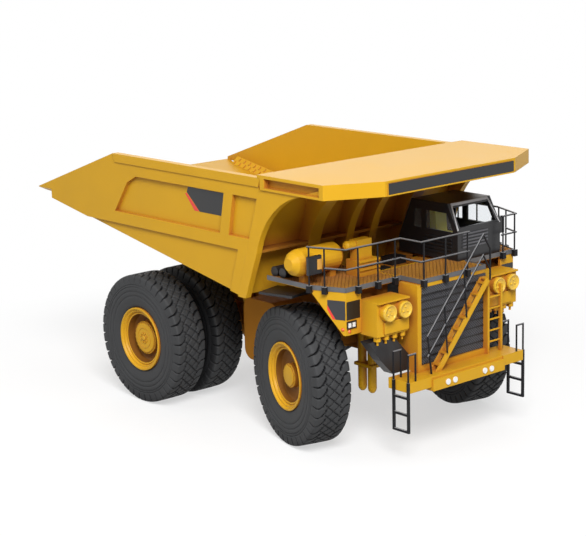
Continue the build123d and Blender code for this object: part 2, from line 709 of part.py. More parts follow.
def belly_z(x):
    """Height of the underside of the bed's floor."""
    return BELLY_FRONT_Z + FLOOR_SLOPE * (BELLY_FRONT - x)


def front_wall_x(z):
    """Lengthwise place of the front wall's outer face."""
    rise = (z - BELLY_FRONT_Z) / (BED_TOP_Z - BELLY_FRONT_Z)
    return BELLY_FRONT + rise * (FRONT_WALL_TOP - BELLY_FRONT)


BED_SIDE = [(-TAIL_REACH, TAIL_EDGE_Z), (-TAIL_REACH, TAIL_TIP_Z), (-BED_TOP_BACK, BED_TOP_Z),
            (FRONT_WALL_TOP, BED_TOP_Z), (BELLY_FRONT, BELLY_FRONT_Z)]
PAST_TAIL = -TAIL_REACH - 5
ABOVE_BED = BED_TOP_Z + 5
INNER_FOOT = BELLY_FRONT - FRONT_WALL_THICKNESS
INNER_FOOT_Z = belly_z(INNER_FOOT) + BED_FLOOR
BED_CAVITY = [(PAST_TAIL, belly_z(PAST_TAIL) + BED_FLOOR), (PAST_TAIL, ABOVE_BED),
              (front_wall_x(ABOVE_BED) - FRONT_WALL_THICKNESS, ABOVE_BED),
              (front_wall_x(INNER_FOOT_Z) - FRONT_WALL_THICKNESS, INNER_FOOT_Z)]
RIB_REAR = RIB_FRONT - RIB_WIDTH
REAR_RECESS = [(RECESS_REAR_TOP - 2 * RECESS_CHAMFER, RECESS_TOP_Z - RECESS_CHAMFER),
               (RECESS_REAR_TOP, RECESS_TOP_Z), (RIB_REAR, RECESS_TOP_Z),
               (RIB_REAR - RIB_LEAN, RECESS_BOTTOM_Z), (RECESS_REAR_FOOT, RECESS_BOTTOM_Z)]
FRONT_RECESS = [(RIB_FRONT, RECESS_TOP_Z), (CANOPY_REAR, RECESS_TOP_Z),
                (CANOPY_REAR, RECESS_BOTTOM_Z), (RIB_FRONT - RIB_LEAN, RECESS_BOTTOM_Z)]
HINGE_LUG_SIDE = [(-HINGE_BACK - HINGE_LUG_RADIUS, HINGE_Z),
                  (-HINGE_BACK - HINGE_LUG_SPREAD,
                   belly_z(-HINGE_BACK - HINGE_LUG_SPREAD) + LUG_SINK),
                  (-HINGE_BACK + HINGE_LUG_SPREAD,
                   belly_z(-HINGE_BACK + HINGE_LUG_SPREAD) + LUG_SINK),
                  (-HINGE_BACK + HINGE_LUG_RADIUS, HINGE_Z)]
HOIST_EAR_FOOT = HOIST_EYE_Z - HOIST_EAR_DROP
HOIST_EAR_HEAD = belly_z(-HOIST_EYE_BACK) + LUG_SINK
HOIST_EAR_SIDE = [(-HOIST_EYE_BACK - HOIST_EYE_RADIUS, HOIST_EAR_FOOT),
                  (-HOIST_EYE_BACK - HOIST_EAR_SPREAD, HOIST_EAR_HEAD),
                  (-HOIST_EYE_BACK + HOIST_EAR_SPREAD, HOIST_EAR_HEAD),
                  (-HOIST_EYE_BACK + HOIST_EYE_RADIUS, HOIST_EAR_FOOT)]


with BuildPart() as dump_bed:
    side_plate(BED_SIDE, -BED_HALF_WIDTH, BED_HALF_WIDTH)
    side_plate(BED_CAVITY, BED_WALL - BED_HALF_WIDTH, BED_HALF_WIDTH - BED_WALL, Mode.SUBTRACT)
    floor_run = Vector(1, 0, -FLOOR_SLOPE).normalized()
    floor_length = TAIL_REACH + BELLY_FRONT + 3 * CHINE_LEAD
    lead_x = -TAIL_REACH - CHINE_LEAD
    for side in SIDES.values():
        edge = Vector(ahead(lead_x), side * BED_HALF_WIDTH, belly_z(lead_x))
        outward = Plane(origin=edge, x_dir=(0, -side, 0), z_dir=floor_run * side)
        # The chine cut along the lower outer edge
        with BuildSketch(outward) as chine_cut:
            with BuildLine():
                Polyline((-PAST, -PAST), (CHINE_INSET, -PAST), (CHINE_INSET, 0),
                         (CHINE_LIP, CHINE_RISE), (-PAST, CHINE_RISE), close=True)
            make_face()
        extrude(chine_cut.sketch, amount=side * floor_length, mode=Mode.SUBTRACT)
        face = side * BED_HALF_WIDTH
        for recess in (REAR_RECESS, FRONT_RECESS):
            side_plate(recess, face, face - side * RECESS_DEPTH, Mode.SUBTRACT)
        # The bottom panel below the lower rail stands back from it and from the front flange
        flange_foot = BELLY_FRONT - FLANGE_WIDTH
        flange_top = front_wall_x(LOWER_RAIL_BOTTOM_Z) - FLANGE_WIDTH
        side_plate([(LOWER_RAIL_REAR, LOWER_RAIL_BOTTOM_Z), (flange_top, LOWER_RAIL_BOTTOM_Z),
                    (flange_foot, BELLY_FRONT_Z), (flange_foot, BELLY_FRONT_Z - BED_WALL),
                    (LOWER_RAIL_REAR, BELLY_FRONT_Z - BED_WALL)],
                   face, face - side * LOWER_PANEL_DEPTH, Mode.SUBTRACT)
        # The top rail stands proud of the side
        side_plate([(-BED_TOP_BACK, BED_TOP_Z), (-BED_TOP_BACK + 2, BED_TOP_Z - RAIL_BOX_HEIGHT),
                    (front_wall_x(BED_TOP_Z - RAIL_BOX_HEIGHT), BED_TOP_Z - RAIL_BOX_HEIGHT),
                    (FRONT_WALL_TOP, BED_TOP_Z)], face, face + side * RAIL_BOX_PROUD)
        # The tail's outer corner is cut off below its tip
        with BuildSketch(Plane.YZ.offset(ahead(-TAIL_REACH) - PAST)) as tail_cut:
            with BuildLine():
                Polyline((side * TAIL_CUT_Y, TAIL_EDGE_Z), (side * BED_HALF_WIDTH, TAIL_CUT_Z),
                         (side * BED_HALF_WIDTH, TAIL_EDGE_Z - CHINE_RISE),
                         (side * TAIL_CUT_Y, TAIL_EDGE_Z - CHINE_RISE), close=True)
            make_face()
        extrude(tail_cut.sketch, amount=TAIL_CUT_LENGTH, mode=Mode.SUBTRACT)
    # Beams across the underside
    for place in BELLY_BEAMS:
        front = place + BELLY_BEAM_LENGTH
        side_plate([(place, belly_z(place) + 1), (place, belly_z(place) - BELLY_BEAM_DEPTH),
                    (front, belly_z(front) - BELLY_BEAM_DEPTH), (front, belly_z(front) + 1)],
                   -BELLY_BEAM_HALF_WIDTH, BELLY_BEAM_HALF_WIDTH)
    # Lugs round the hinge pin
    for side in SIDES.values():
        lug_near = side * (RAIL_INNER_Y - MOVING_GAP)
        lug_far = side * (RAIL_INNER_Y - MOVING_GAP - HINGE_LUG_WIDTH)
        side_plate(HINGE_LUG_SIDE, lug_near, lug_far)
        bar((-HINGE_BACK, lug_near, HINGE_Z), (-HINGE_BACK, lug_far, HINGE_Z), HINGE_LUG_RADIUS)
        bar((-HINGE_BACK, lug_near, HINGE_Z), (-HINGE_BACK, lug_far, HINGE_Z),
            HINGE_PIN_RADIUS + FIT_CLEARANCE, Mode.SUBTRACT)
        # Ears beside the hoist rods' eyes
        ear_near = side * (HOIST_Y - HOIST_EYE_WIDTH / 2 - MOVING_GAP)
        ear_far = ear_near - side * HOIST_EAR_THICKNESS
        side_plate(HOIST_EAR_SIDE, ear_near, ear_far)
save(dump_bed, "dump_bed")

# Canopy over the cab and decks, with its channel sides and front fascia

CANOPY_OUTLINE = [(CANOPY_REAR, CANOPY_HALF_WIDTH), (CANOPY_SHOULDER, CANOPY_HALF_WIDTH),
                  (CANOPY_FRONT, CANOPY_FRONT_HALF_WIDTH)]


def canopy_outline(inset):
    """The canopy's outline from above, its front and sides drawn in by an inset."""
    right = [(x if x == CANOPY_REAR else x - inset, inset - y) for x, y in CANOPY_OUTLINE]
    left = [(x, -y) for x, y in reversed(right)]
    return [(ahead(x), y) for x, y in right + left]


with BuildPart() as bed_canopy:
    with BuildSketch(Plane.XY.offset(BED_TOP_Z)):
        with BuildLine():
            Polyline(*canopy_outline(0), close=True)
        make_face()
    extrude(amount=CANOPY_TOP_Z - BED_TOP_Z)
    with BuildSketch(Plane.XY.offset(CANOPY_BOTTOM_Z)):
        with BuildLine():
            Polyline(*canopy_outline(0), close=True)
        make_face()
        with BuildLine():
            Polyline(*canopy_outline(CANOPY_PLATE), close=True)
        make_face(mode=Mode.SUBTRACT)
    extrude(amount=BED_TOP_Z - CANOPY_BOTTOM_Z)
    # Each side is a channel: the web is set back from both flanges
    for side in SIDES.values():
        edge = side * CANOPY_HALF_WIDTH
        block(CHANNEL_REAR - CANOPY_PLATE, CHANNEL_FRONT + CANOPY_PLATE, edge,
              edge - side * (CHANNEL_DEPTH + CANOPY_PLATE), CANOPY_BOTTOM_Z, BED_TOP_Z)
        block(CHANNEL_REAR, CHANNEL_FRONT, edge, edge - side * CHANNEL_DEPTH,
              CANOPY_BOTTOM_Z + CHANNEL_LIP, BED_TOP_Z, Mode.SUBTRACT)
        # A gusset slopes across the front of the channel
        side_plate([(GUSSET_REAR, CANOPY_BOTTOM_Z + CHANNEL_LIP),
                    (CHANNEL_FRONT, BED_TOP_Z - CHANNEL_LIP),
                    (CHANNEL_FRONT, CANOPY_BOTTOM_Z + CHANNEL_LIP)], edge - side * CHANNEL_DEPTH,
                   edge - side * (CHANNEL_DEPTH - GUSSET_THICKNESS))
    # A plain fascia across the straight front edge
    block(CANOPY_FRONT - CANOPY_PLATE, CANOPY_FRONT + FASCIA_PROUD, -FASCIA_HALF_WIDTH,
          FASCIA_HALF_WIDTH, CANOPY_BOTTOM_Z, BED_TOP_Z)
    # Cut clear of the front wall
    block(CANOPY_REAR - PAST, FRONT_WALL_TOP, -CANOPY_HALF_WIDTH - PAST, CANOPY_HALF_WIDTH + PAST,
          CANOPY_BOTTOM_Z - PAST, BED_TOP_Z, Mode.SUBTRACT)
save(bed_canopy, "bed_canopy")

# Arched ribs and shelves between the front wall and the canopy

ARCH_CENTRE_Z = ARCH_TOP_Z - ARCH_RADIUS


def arch_x(z):
    """Lengthwise place of the arched front edge of the ribs at a height."""
    return ARCH_CENTRE_FORWARD - sqrt(ARCH_RADIUS**2 - (z - ARCH_CENTRE_Z)**2)


def arch_rib(near_y, far_y, arch_top, rib_top):
    """Adds one rib: straight at its foot, then following the arch up to the canopy."""
    knee = (arch_x(LOWER_RAIL_BOTTOM_Z), LOWER_RAIL_BOTTOM_Z)
    end = (arch_x(arch_top), arch_top)
    middle_z = (LOWER_RAIL_BOTTOM_Z + arch_top) / 2
    through = (arch_x(middle_z), middle_z)
    rise = [(end[0], rib_top)] if rib_top > arch_top else []
    with BuildSketch(Plane.XZ.offset(-max(near_y, far_y))) as outline:
        with BuildLine():
            ThreePointArc(*[(ahead(x), z) for x, z in (knee, through, end)])
            Polyline(*[(ahead(x), z) for x, z in (
                end, *rise, (front_wall_x(rib_top), rib_top),
                (BELLY_FRONT, BELLY_FRONT_Z), (BELLY_FRONT + RIB_FOOT, BELLY_FRONT_Z), knee)])
        make_face()
    extrude(outline.sketch, amount=abs(far_y - near_y))


with BuildPart() as canopy_ribs:
    for side in SIDES.values():
        arch_rib(side * (BED_HALF_WIDTH - BED_WALL), side * BED_HALF_WIDTH,
                 CANOPY_BOTTOM_Z, CANOPY_BOTTOM_Z)
        for near, far in ((MIDDLE_RIB_INNER_Y, MIDDLE_RIB_OUTER_Y),
                          (OUTER_RIB_INNER_Y, OUTER_RIB_OUTER_Y)):
            arch_rib(side * near, side * far, ARCH_TOP_Z - RIB_CLEARANCE, BED_TOP_Z)
save(canopy_ribs, "canopy_ribs")

SHELF_TOP_Z = SHELF_Z + SHELF_THICKNESS
SHELF_SIDE = [(front_wall_x(SHELF_Z), SHELF_Z), (arch_x(SHELF_Z) - SHELF_SETBACK, SHELF_Z),
              (arch_x(SHELF_TOP_Z) - SHELF_SETBACK, SHELF_TOP_Z),
              (front_wall_x(SHELF_TOP_Z), SHELF_TOP_Z)]
with BuildPart() as canopy_shelves:
    side_plate(SHELF_SIDE, -MIDDLE_RIB_INNER_Y, MIDDLE_RIB_INNER_Y)
    for side in SIDES.values():
        side_plate(SHELF_SIDE, side * MIDDLE_RIB_OUTER_Y, side * OUTER_RIB_INNER_Y)
        side_plate(SHELF_SIDE, side * OUTER_RIB_OUTER_Y, side * (BED_HALF_WIDTH - BED_WALL))
save(canopy_shelves, "canopy_shelves")

# Hoist cylinders from the frame to the ears under the bed

HOIST_LEAN = Vector(HOIST_FOOT_BACK - HOIST_EYE_BACK, 0, HOIST_EYE_Z - HOIST_FOOT_Z)
HOIST_LENGTH = HOIST_LEAN.length


def hoist_plane(side, along):
    """A plane across a hoist cylinder, a distance up from its foot pin."""
    foot = Vector(ahead(-HOIST_FOOT_BACK), side * HOIST_Y, HOIST_FOOT_Z)
    return Plane(origin=foot + HOIST_LEAN.normalized() * along, x_dir=(0, 1, 0), z_dir=HOIST_LEAN)


def eye(back, z, side, bore, mode=Mode.ADD):
    """Adds the rounded eye of a hoist cylinder round its pin, or cuts its bore."""
    near = side * (HOIST_Y - HOIST_EYE_WIDTH / 2)
    far = side * (HOIST_Y + HOIST_EYE_WIDTH / 2)
    bar((-back, near, z), (-back, far, z), bore, mode)


for name, side in SIDES.items():
    rod_radius = HOIST_ROD_RADIUS + FIT_CLEARANCE
    with BuildPart() as hoist_barrel:
        eye(HOIST_FOOT_BACK, HOIST_FOOT_Z, side, HOIST_EYE_RADIUS)
        with Locations(hoist_plane(side, 0)):
            Cylinder(HOIST_BARREL_RADIUS, HOIST_BARREL_LENGTH,
                     align=(Align.CENTER, Align.CENTER, Align.MIN))
        with Locations(hoist_plane(side, HOIST_EYE_RADIUS + 1)):
            Cylinder(rod_radius, HOIST_BARREL_LENGTH, mode=Mode.SUBTRACT,
                     align=(Align.CENTER, Align.CENTER, Align.MIN))
        bar((-HOIST_FOOT_BACK, side * RAIL_OUTER_Y, HOIST_FOOT_Z),
            (-HOIST_FOOT_BACK, side * (HOIST_Y + HOIST_BARREL_RADIUS + 1), HOIST_FOOT_Z),
            HOIST_PIN_RADIUS + FIT_CLEARANCE, Mode.SUBTRACT)
    save(hoist_barrel, f"hoist_barrel_{name}")

    with BuildPart() as hoist_rod:
        with Locations(hoist_plane(side, HOIST_LENGTH - HOIST_ROD_LENGTH)):
            Cylinder(HOIST_ROD_RADIUS, HOIST_ROD_LENGTH,
                     align=(Align.CENTER, Align.CENTER, Align.MIN))
        eye(HOIST_EYE_BACK, HOIST_EYE_Z, side, HOIST_ROD_EYE_RADIUS)
        eye(HOIST_EYE_BACK, HOIST_EYE_Z, side, HOIST_PIN_RADIUS + FIT_CLEARANCE, Mode.SUBTRACT)
    save(hoist_rod, f"hoist_rod_{name}")

# Engine block and radiator core

with BuildPart() as engine_block:
    block(ENGINE_REAR, ENGINE_FRONT, -ENGINE_SUMP_HALF_WIDTH, ENGINE_SUMP_HALF_WIDTH,
          RAIL_BOTTOM_Z + 2, RAIL_TOP_Z)
    block(ENGINE_REAR, ENGINE_FRONT, -RAIL_OUTER_Y, RAIL_OUTER_Y, RAIL_TOP_Z, ENGINE_TOP_Z)
save(engine_block, "engine_block")

with BuildPart() as radiator_core:
    block(GRILLE_FRAME_REAR, GRILLE_FRONT - GRILLE_DEPTH, -DECK_CENTRE_HALF_WIDTH, DECK_CENTRE_HALF_WIDTH,
          RAIL_TOP_Z, DECK_TOP_Z - DECK_THICKNESS)
    block(RAIL_FRONT, GRILLE_FRONT - GRILLE_DEPTH, -DECK_CENTRE_HALF_WIDTH,
          DECK_CENTRE_HALF_WIDTH, GRILLE_BOTTOM_Z, RAIL_TOP_Z)
save(radiator_core, "radiator_core")

with BuildPart() as radiator_grille:
    grille_top = DECK_TOP_Z - FASCIA_HEIGHT
    band = (grille_top - GRILLE_BOTTOM_Z) / GRILLE_BANDS
    column = 2 * DECK_CENTRE_HALF_WIDTH / GRILLE_DIAMONDS
    block(GRILLE_FRONT - GRILLE_DEPTH, GRILLE_FRONT, -DECK_CENTRE_HALF_WIDTH,
          DECK_CENTRE_HALF_WIDTH, GRILLE_BOTTOM_Z, grille_top)
    # Rows of sunk diamonds, one row to a band
    with BuildSketch(Plane.YZ.offset(ahead(GRILLE_FRONT))) as mesh:
        with Locations((0, (grille_top + GRILLE_BOTTOM_Z) / 2)):
            with GridLocations(column, band, GRILLE_DIAMONDS, GRILLE_BANDS):
                Polygon((column / 2 - MESH_BAR, 0), (0, band / 2 - MESH_BAR),
                        (MESH_BAR - column / 2, 0), (0, MESH_BAR - band / 2))
    extrude(mesh.sketch, amount=-MESH_DEPTH, mode=Mode.SUBTRACT)
save(radiator_grille, "radiator_grille")

with BuildPart() as grille_frame:
    for side in SIDES.values():
        near = side * DECK_CENTRE_HALF_WIDTH
        block(GRILLE_FRAME_REAR, GRILLE_FRAME_FRONT, near, near + side * GRILLE_FRAME_WIDTH,
              PLATFORM_TOP_Z, DECK_TOP_Z - DECK_THICKNESS)
    reach = DECK_CENTRE_HALF_WIDTH + GRILLE_FRAME_WIDTH
    block(RAIL_FRONT, GRILLE_FRAME_FRONT, -reach, reach, PLATFORM_TOP_Z, GRILLE_BOTTOM_Z)
save(grille_frame, "grille_frame")

# Bumper with its centre beam, its walkway and the platforms at both ends

with BuildPart() as front_bumper:
    block(BUMPER_FRONT - BUMPER_DEPTH, BUMPER_FRONT, -BUMPER_HALF_WIDTH, BUMPER_HALF_WIDTH,
          BUMPER_BOTTOM_Z, BUMPER_TOP_Z)
    block(PLATFORM_REAR, PLATFORM_FRONT - FOG_DEPTH, -PLATFORM_HALF_WIDTH, PLATFORM_HALF_WIDTH,
          BUMPER_TOP_Z, PLATFORM_TOP_Z)
    for side in SIDES.values():
        block(PLATFORM_REAR, PLATFORM_FRONT, side * BUMPER_HALF_WIDTH, side * PLATFORM_HALF_WIDTH,
              PLATFORM_TOP_Z - PLATFORM_SKIRT, PLATFORM_TOP_Z)
        block(RAIL_FRONT, BUMPER_FRONT - BUMPER_DEPTH, side * RAIL_INNER_Y, side * RAIL_OUTER_Y,
              BUMPER_BOTTOM_Z + 1, BUMPER_TOP_Z)
        block(RAIL_FRONT - CROSS_RISE, RAIL_FRONT, side * RAIL_INNER_Y, side * RAIL_OUTER_Y,
              BUMPER_BOTTOM_Z + 1, RAIL_BOTTOM_Z)
save(front_bumper, "front_bumper")

with BuildPart() as fog_lamps:
    for side in SIDES.values():
        for place in (-FOG_SPACING / 2, FOG_SPACING / 2):
            y = side * FOG_Y + place
            wire([(BUMPER_FRONT, y, FOG_Z), (BUMPER_FRONT + FOG_DEPTH, y, FOG_Z)], FOG_RADIUS,
                 FOG_SIDES)
save(fog_lamps, "fog_lamps")

# Access ladders that hang from the ends of the platforms, with their hoops

for name, side in SIDES.items():
    outer = side * PLATFORM_HALF_WIDTH
    with BuildPart() as access_ladder:
        for place in (LADDER_INNER, LADDER_OUTER):
            block(place - LADDER_BAR / 2, place + LADDER_BAR / 2, outer, outer + side * LADDER_BAR,
                  LADDER_BOTTOM_Z, PLATFORM_TOP_Z)
        spacing = (PLATFORM_TOP_Z - LADDER_BOTTOM_Z) / LADDER_RUNGS
        for rung in range(LADDER_RUNGS):
            z = LADDER_BOTTOM_Z + rung * spacing
            block(LADDER_INNER, LADDER_OUTER, outer, outer + side * LADDER_BAR, z, z + LADDER_BAR)
        for place in (LADDER_INNER, LADDER_OUTER):
            middle = outer + side * LADDER_BAR / 2
            wire([(place, middle, PLATFORM_TOP_Z - 1), (place, middle, HOOP_TOP_Z),
                  (place, middle - side * HOOP_DEPTH, HOOP_TOP_Z),
                  (place, middle - side * HOOP_DEPTH, PLATFORM_TOP_Z)], RAIL_BAR_RADIUS)
    save(access_ladder, f"access_ladder_{name}")

# Decks: a plate each side with its skirts and legs, and the centre deck over the radiator

DECK_BOTTOM_Z = DECK_TOP_Z - DECK_THICKNESS
for name, side in SIDES.items():
    with BuildPart() as deck:
        corners = [(DECK_REAR, DECK_CENTRE_HALF_WIDTH), (DECK_REAR, DECK_SIDE_Y),
                   (DECK_SHOULDER, DECK_SIDE_Y), (DECK_FRONT, DECK_FRONT_Y),
                   (DECK_FRONT, DECK_CENTRE_HALF_WIDTH)]
        with BuildSketch(Plane.XY.offset(DECK_BOTTOM_Z)):
            with BuildLine():
                Polyline(*[(ahead(x), side * y) for x, y in corners], close=True)
            make_face()
        extrude(amount=DECK_THICKNESS)
        # Front skirt and the tapered skirt round the corner
        block(DECK_FRONT - SKIRT_THICKNESS, DECK_FRONT, side * SKIRT_INNER_Y, side * DECK_FRONT_Y,
              SKIRT_BOTTOM_Z, DECK_BOTTOM_Z)
        shoulder = Vector(ahead(DECK_SHOULDER), side * DECK_SIDE_Y, DECK_BOTTOM_Z)
        corner = Vector(ahead(DECK_FRONT), side * DECK_FRONT_Y, DECK_BOTTOM_Z)
        along = (corner - shoulder).normalized()
        drop = DECK_BOTTOM_Z - SKIRT_BOTTOM_Z
        outward = along.cross(Vector(0, 0, 1))
        with BuildSketch(Plane(origin=corner, x_dir=along, z_dir=outward)) as skirt:
            with BuildLine():
                Polyline((0, 0), (0, -drop), (-SKIRT_FOOT, -drop), ((shoulder - corner).dot(along), 0),
                         close=True)
            make_face()
        extrude(skirt.sketch, amount=side * SKIRT_THICKNESS)
        # Legs down to the frame
        block(LEG_REAR, LEG_FRONT, side * RAIL_OUTER_Y, side * (DECK_CENTRE_HALF_WIDTH + LEG_REACH),
              RAIL_TOP_Z + LEG_RISE, DECK_BOTTOM_Z)
    save(deck, f"deck_{name}")

with BuildPart() as deck_centre:
    block(DECK_CENTRE_REAR, DECK_CENTRE_FRONT, -DECK_CENTRE_HALF_WIDTH, DECK_CENTRE_HALF_WIDTH,
          DECK_BOTTOM_Z, DECK_TOP_Z)
    block(GRILLE_FRONT, DECK_CENTRE_FRONT, -DECK_CENTRE_HALF_WIDTH, DECK_CENTRE_HALF_WIDTH,
          DECK_TOP_Z - FASCIA_HEIGHT, DECK_BOTTOM_Z)
save(deck_centre, "deck_centre")

# Headlamp clusters under the front edge of the decks

for name, side in SIDES.items():
    with BuildPart() as headlamps:
        block(LAMP_REAR, LAMP_BOX_FRONT, side * LAMP_INNER_EDGE, side * SKIRT_INNER_Y,
              LAMP_BOX_BOTTOM_Z, LAMP_BOX_TOP_Z)
        block(LAMP_REAR, LAMP_HOOD_FRONT, side * LAMP_INNER_EDGE, side * SKIRT_INNER_Y,
              LAMP_BOX_TOP_Z - LAMP_HOOD, LAMP_BOX_TOP_Z)
        block(LAMP_BOX_FRONT, LAMP_PANEL_FRONT, side * LAMP_INNER_EDGE,
              side * (SKIRT_INNER_Y - LAMP_PANEL_INSET), LAMP_BOX_BOTTOM_Z + 1, LAMP_PANEL_TOP_Z)
        for place in (LAMP_PAIR_INSET, LAMP_PAIR_INSET + LAMP_SPACING):
            y = side * (LAMP_INNER_EDGE + place)
            wire([(LAMP_BOX_FRONT - PAST, y, LAMP_Z), (LAMP_FRONT, y, LAMP_Z)], LAMP_RADIUS,
                 LAMP_SIDES)
        # Studs hang under the box
        pitch = (SKIRT_INNER_Y - LAMP_INNER_EDGE - 2 * STUD_INSET) / (STUDS - 1)
        for stud in range(STUDS):
            y = side * (LAMP_INNER_EDGE + STUD_INSET + stud * pitch)
            x = LAMP_BOX_FRONT - STUD_INSET
            nut_z = LAMP_BOX_BOTTOM_Z - STUD_NUT_HEIGHT
            wire([(x, y, LAMP_BOX_BOTTOM_Z), (x, y, nut_z)], STUD_RADIUS)
            wire([(x, y, nut_z), (x, y, nut_z - STUD_LENGTH)], STUD_RADIUS / 3)
    save(headlamps, f"headlamps_{name}")

# Cab shell with its windows, panes and seat

CAB_SIDE = [(CAB_REAR, DECK_TOP_Z), (CAB_FRONT, DECK_TOP_Z), (CAB_FRONT, CAB_SILL_Z),
            (CAB_ROOF_FRONT, CAB_ROOF_Z), (CAB_ROOF_REAR, CAB_ROOF_Z), (CAB_REAR, CAB_SHOULDER_Z)]
CAB_ROOM = [(CAB_REAR + CAB_WALL, DECK_TOP_Z - PAST), (CAB_FRONT - CAB_WALL, DECK_TOP_Z - PAST),
            (CAB_FRONT - CAB_WALL, CAB_SILL_Z), (CAB_ROOF_FRONT - CAB_WALL, CAB_ROOF_Z - CAB_WALL),
            (CAB_ROOF_REAR + CAB_WALL, CAB_ROOF_Z - CAB_WALL), (CAB_REAR + CAB_WALL, CAB_SHOULDER_Z)]
LEAN = (CAB_FRONT - CAB_ROOF_FRONT) / (CAB_ROOF_Z - CAB_SILL_Z)
WINDOW_FRONT_TOP = CAB_ROOF_FRONT - WINDOW_BAR + LEAN * (CAB_ROOF_Z - WINDOW_TOP_Z)
WINDOW_FRONT_FOOT = CAB_ROOF_FRONT - WINDOW_BAR + LEAN * (CAB_ROOF_Z - CAB_SILL_Z)
REAR_WINDOW = [(REAR_WINDOW_REAR, WINDOW_BOTTOM_Z), (REAR_WINDOW_REAR + 1, WINDOW_TOP_Z),
               (REAR_WINDOW_FRONT, WINDOW_TOP_Z), (REAR_WINDOW_FRONT, WINDOW_BOTTOM_Z)]
FRONT_WINDOW = [(REAR_WINDOW_FRONT + WINDOW_BAR, WINDOW_BOTTOM_Z),
                (REAR_WINDOW_FRONT + WINDOW_BAR, WINDOW_TOP_Z), (WINDOW_FRONT_TOP, WINDOW_TOP_Z),
                (WINDOW_FRONT_FOOT, CAB_SILL_Z), (WINDOW_FRONT_FOOT, WINDOW_BOTTOM_Z)]
SIDE_WINDOWS = [REAR_WINDOW, FRONT_WINDOW]

with BuildPart() as cab_shell:
    side_plate(CAB_SIDE, CAB_INNER_Y, CAB_OUTER_Y)
    side_plate(CAB_ROOM, CAB_INNER_Y + CAB_WALL, CAB_OUTER_Y - CAB_WALL, Mode.SUBTRACT)
    for window in SIDE_WINDOWS:
        side_plate(window, CAB_INNER_Y - PAST, CAB_OUTER_Y + PAST, Mode.SUBTRACT)
    block(CAB_ROOF_FRONT - CAB_WALL, CAB_FRONT + PAST, CAB_INNER_Y + CAB_CORNER_INSET,
          CAB_OUTER_Y - CAB_CORNER_INSET, CAB_SILL_Z + CAB_WALL, CAB_ROOF_Z - 2 * CAB_WALL,
          Mode.SUBTRACT)
    # Louvres low on the inner side, under the front window
    pitch = (LOUVRE_TOP_Z - LOUVRE_BOTTOM_Z) / LOUVRES
    for louvre in range(LOUVRES):
        foot = LOUVRE_BOTTOM_Z + louvre * pitch
        block(LOUVRE_REAR, LOUVRE_FRONT, CAB_INNER_Y, CAB_INNER_Y - LOUVRE_PROUD, foot,
              foot + pitch / 2)
save(cab_shell, "cab_shell")

with BuildPart() as cab_glazing:
    for face in (CAB_INNER_Y, CAB_OUTER_Y - GLASS_THICKNESS):
        for window in SIDE_WINDOWS:
            side_plate(window, face, face + GLASS_THICKNESS)
save(cab_glazing, "cab_glazing")

with BuildPart() as cab_seat:
    seat_top = DECK_TOP_Z + SEAT_HEIGHT
    back_top = DECK_TOP_Z + SEAT_BACK_HEIGHT
    back_front = SEAT_REAR + SEAT_BACK_THICKNESS
    side_plate([(SEAT_REAR, DECK_TOP_Z), (SEAT_REAR + SEAT_LENGTH, DECK_TOP_Z),
                (SEAT_REAR + SEAT_LENGTH, seat_top), (back_front + 1, seat_top), (back_front, back_top),
                (SEAT_REAR, back_top)], SEAT_Y - SEAT_HALF_WIDTH, SEAT_Y + SEAT_HALF_WIDTH)
save(cab_seat, "cab_seat")

# Deck railings

def along_edge(start, end, share):
    """A point part of the way from one corner of a railing to the next."""
    return start[0] + share * (end[0] - start[0]), start[1] + share * (end[1] - start[1])


def posts_between(start, end, shares):
    """Adds posts between two corners, each in a socket turned along the deck's edge."""
    run = Vector(end[0] - start[0], end[1] - start[1], 0)
    for share in shares:
        x, y = along_edge(start, end, share)
        wire([(x, y, DECK_TOP_Z), (x, y, DECK_TOP_Z + RAILING_HEIGHT)], POST_RADIUS)
        socket_z = DECK_TOP_Z + SOCKET_RISE - SOCKET_HEIGHT / 2
        with Locations(Plane(origin=(ahead(x), y, socket_z), x_dir=run, z_dir=(0, 0, 1))):
            Box(SOCKET_WIDTH, SOCKET_WIDTH, SOCKET_HEIGHT)


def rails(path, middle_path):
    """Adds a top rail and a middle rail along their corners."""
    wire([(x, y, DECK_TOP_Z + RAILING_HEIGHT) for x, y in path], RAIL_BAR_RADIUS)
    wire([(x, y, DECK_TOP_Z + RAILING_HEIGHT / 2) for x, y in middle_path], RAIL_BAR_RADIUS)


EDGE = SOCKET_WIDTH / 2
CORNER_LEAN = (DECK_SIDE_Y - DECK_FRONT_Y) / (DECK_FRONT - DECK_SHOULDER)
CORNER_STRETCH = sqrt(1 + CORNER_LEAN**2)
SIDE_LINE = DECK_SIDE_Y + EDGE * CORNER_STRETCH
FRONT_LINE = DECK_FRONT + EDGE
CENTRE_LINE = DECK_CENTRE_FRONT + EDGE
CORNER_Y = DECK_FRONT_Y + EDGE * (CORNER_STRETCH - CORNER_LEAN)
MIRROR_POST, SECOND_POST = 0.05, 0.45
RIGHT_POSTS = (0.22, 0.58, 0.9)
CENTRE_POSTS = (0.06, 0.5, 0.96)
LEFT_POSTS = (0.1, 0.9)
SIDE_POSTS = (0.5, 0.96)
HANDRAIL_POSTS = (0.3, 0.65)
INNER_LINE = DECK_CENTRE_HALF_WIDTH + EDGE
STAIR_HEAD_Y = STAIR_TOP_Y - STAIR_RUN_GAP

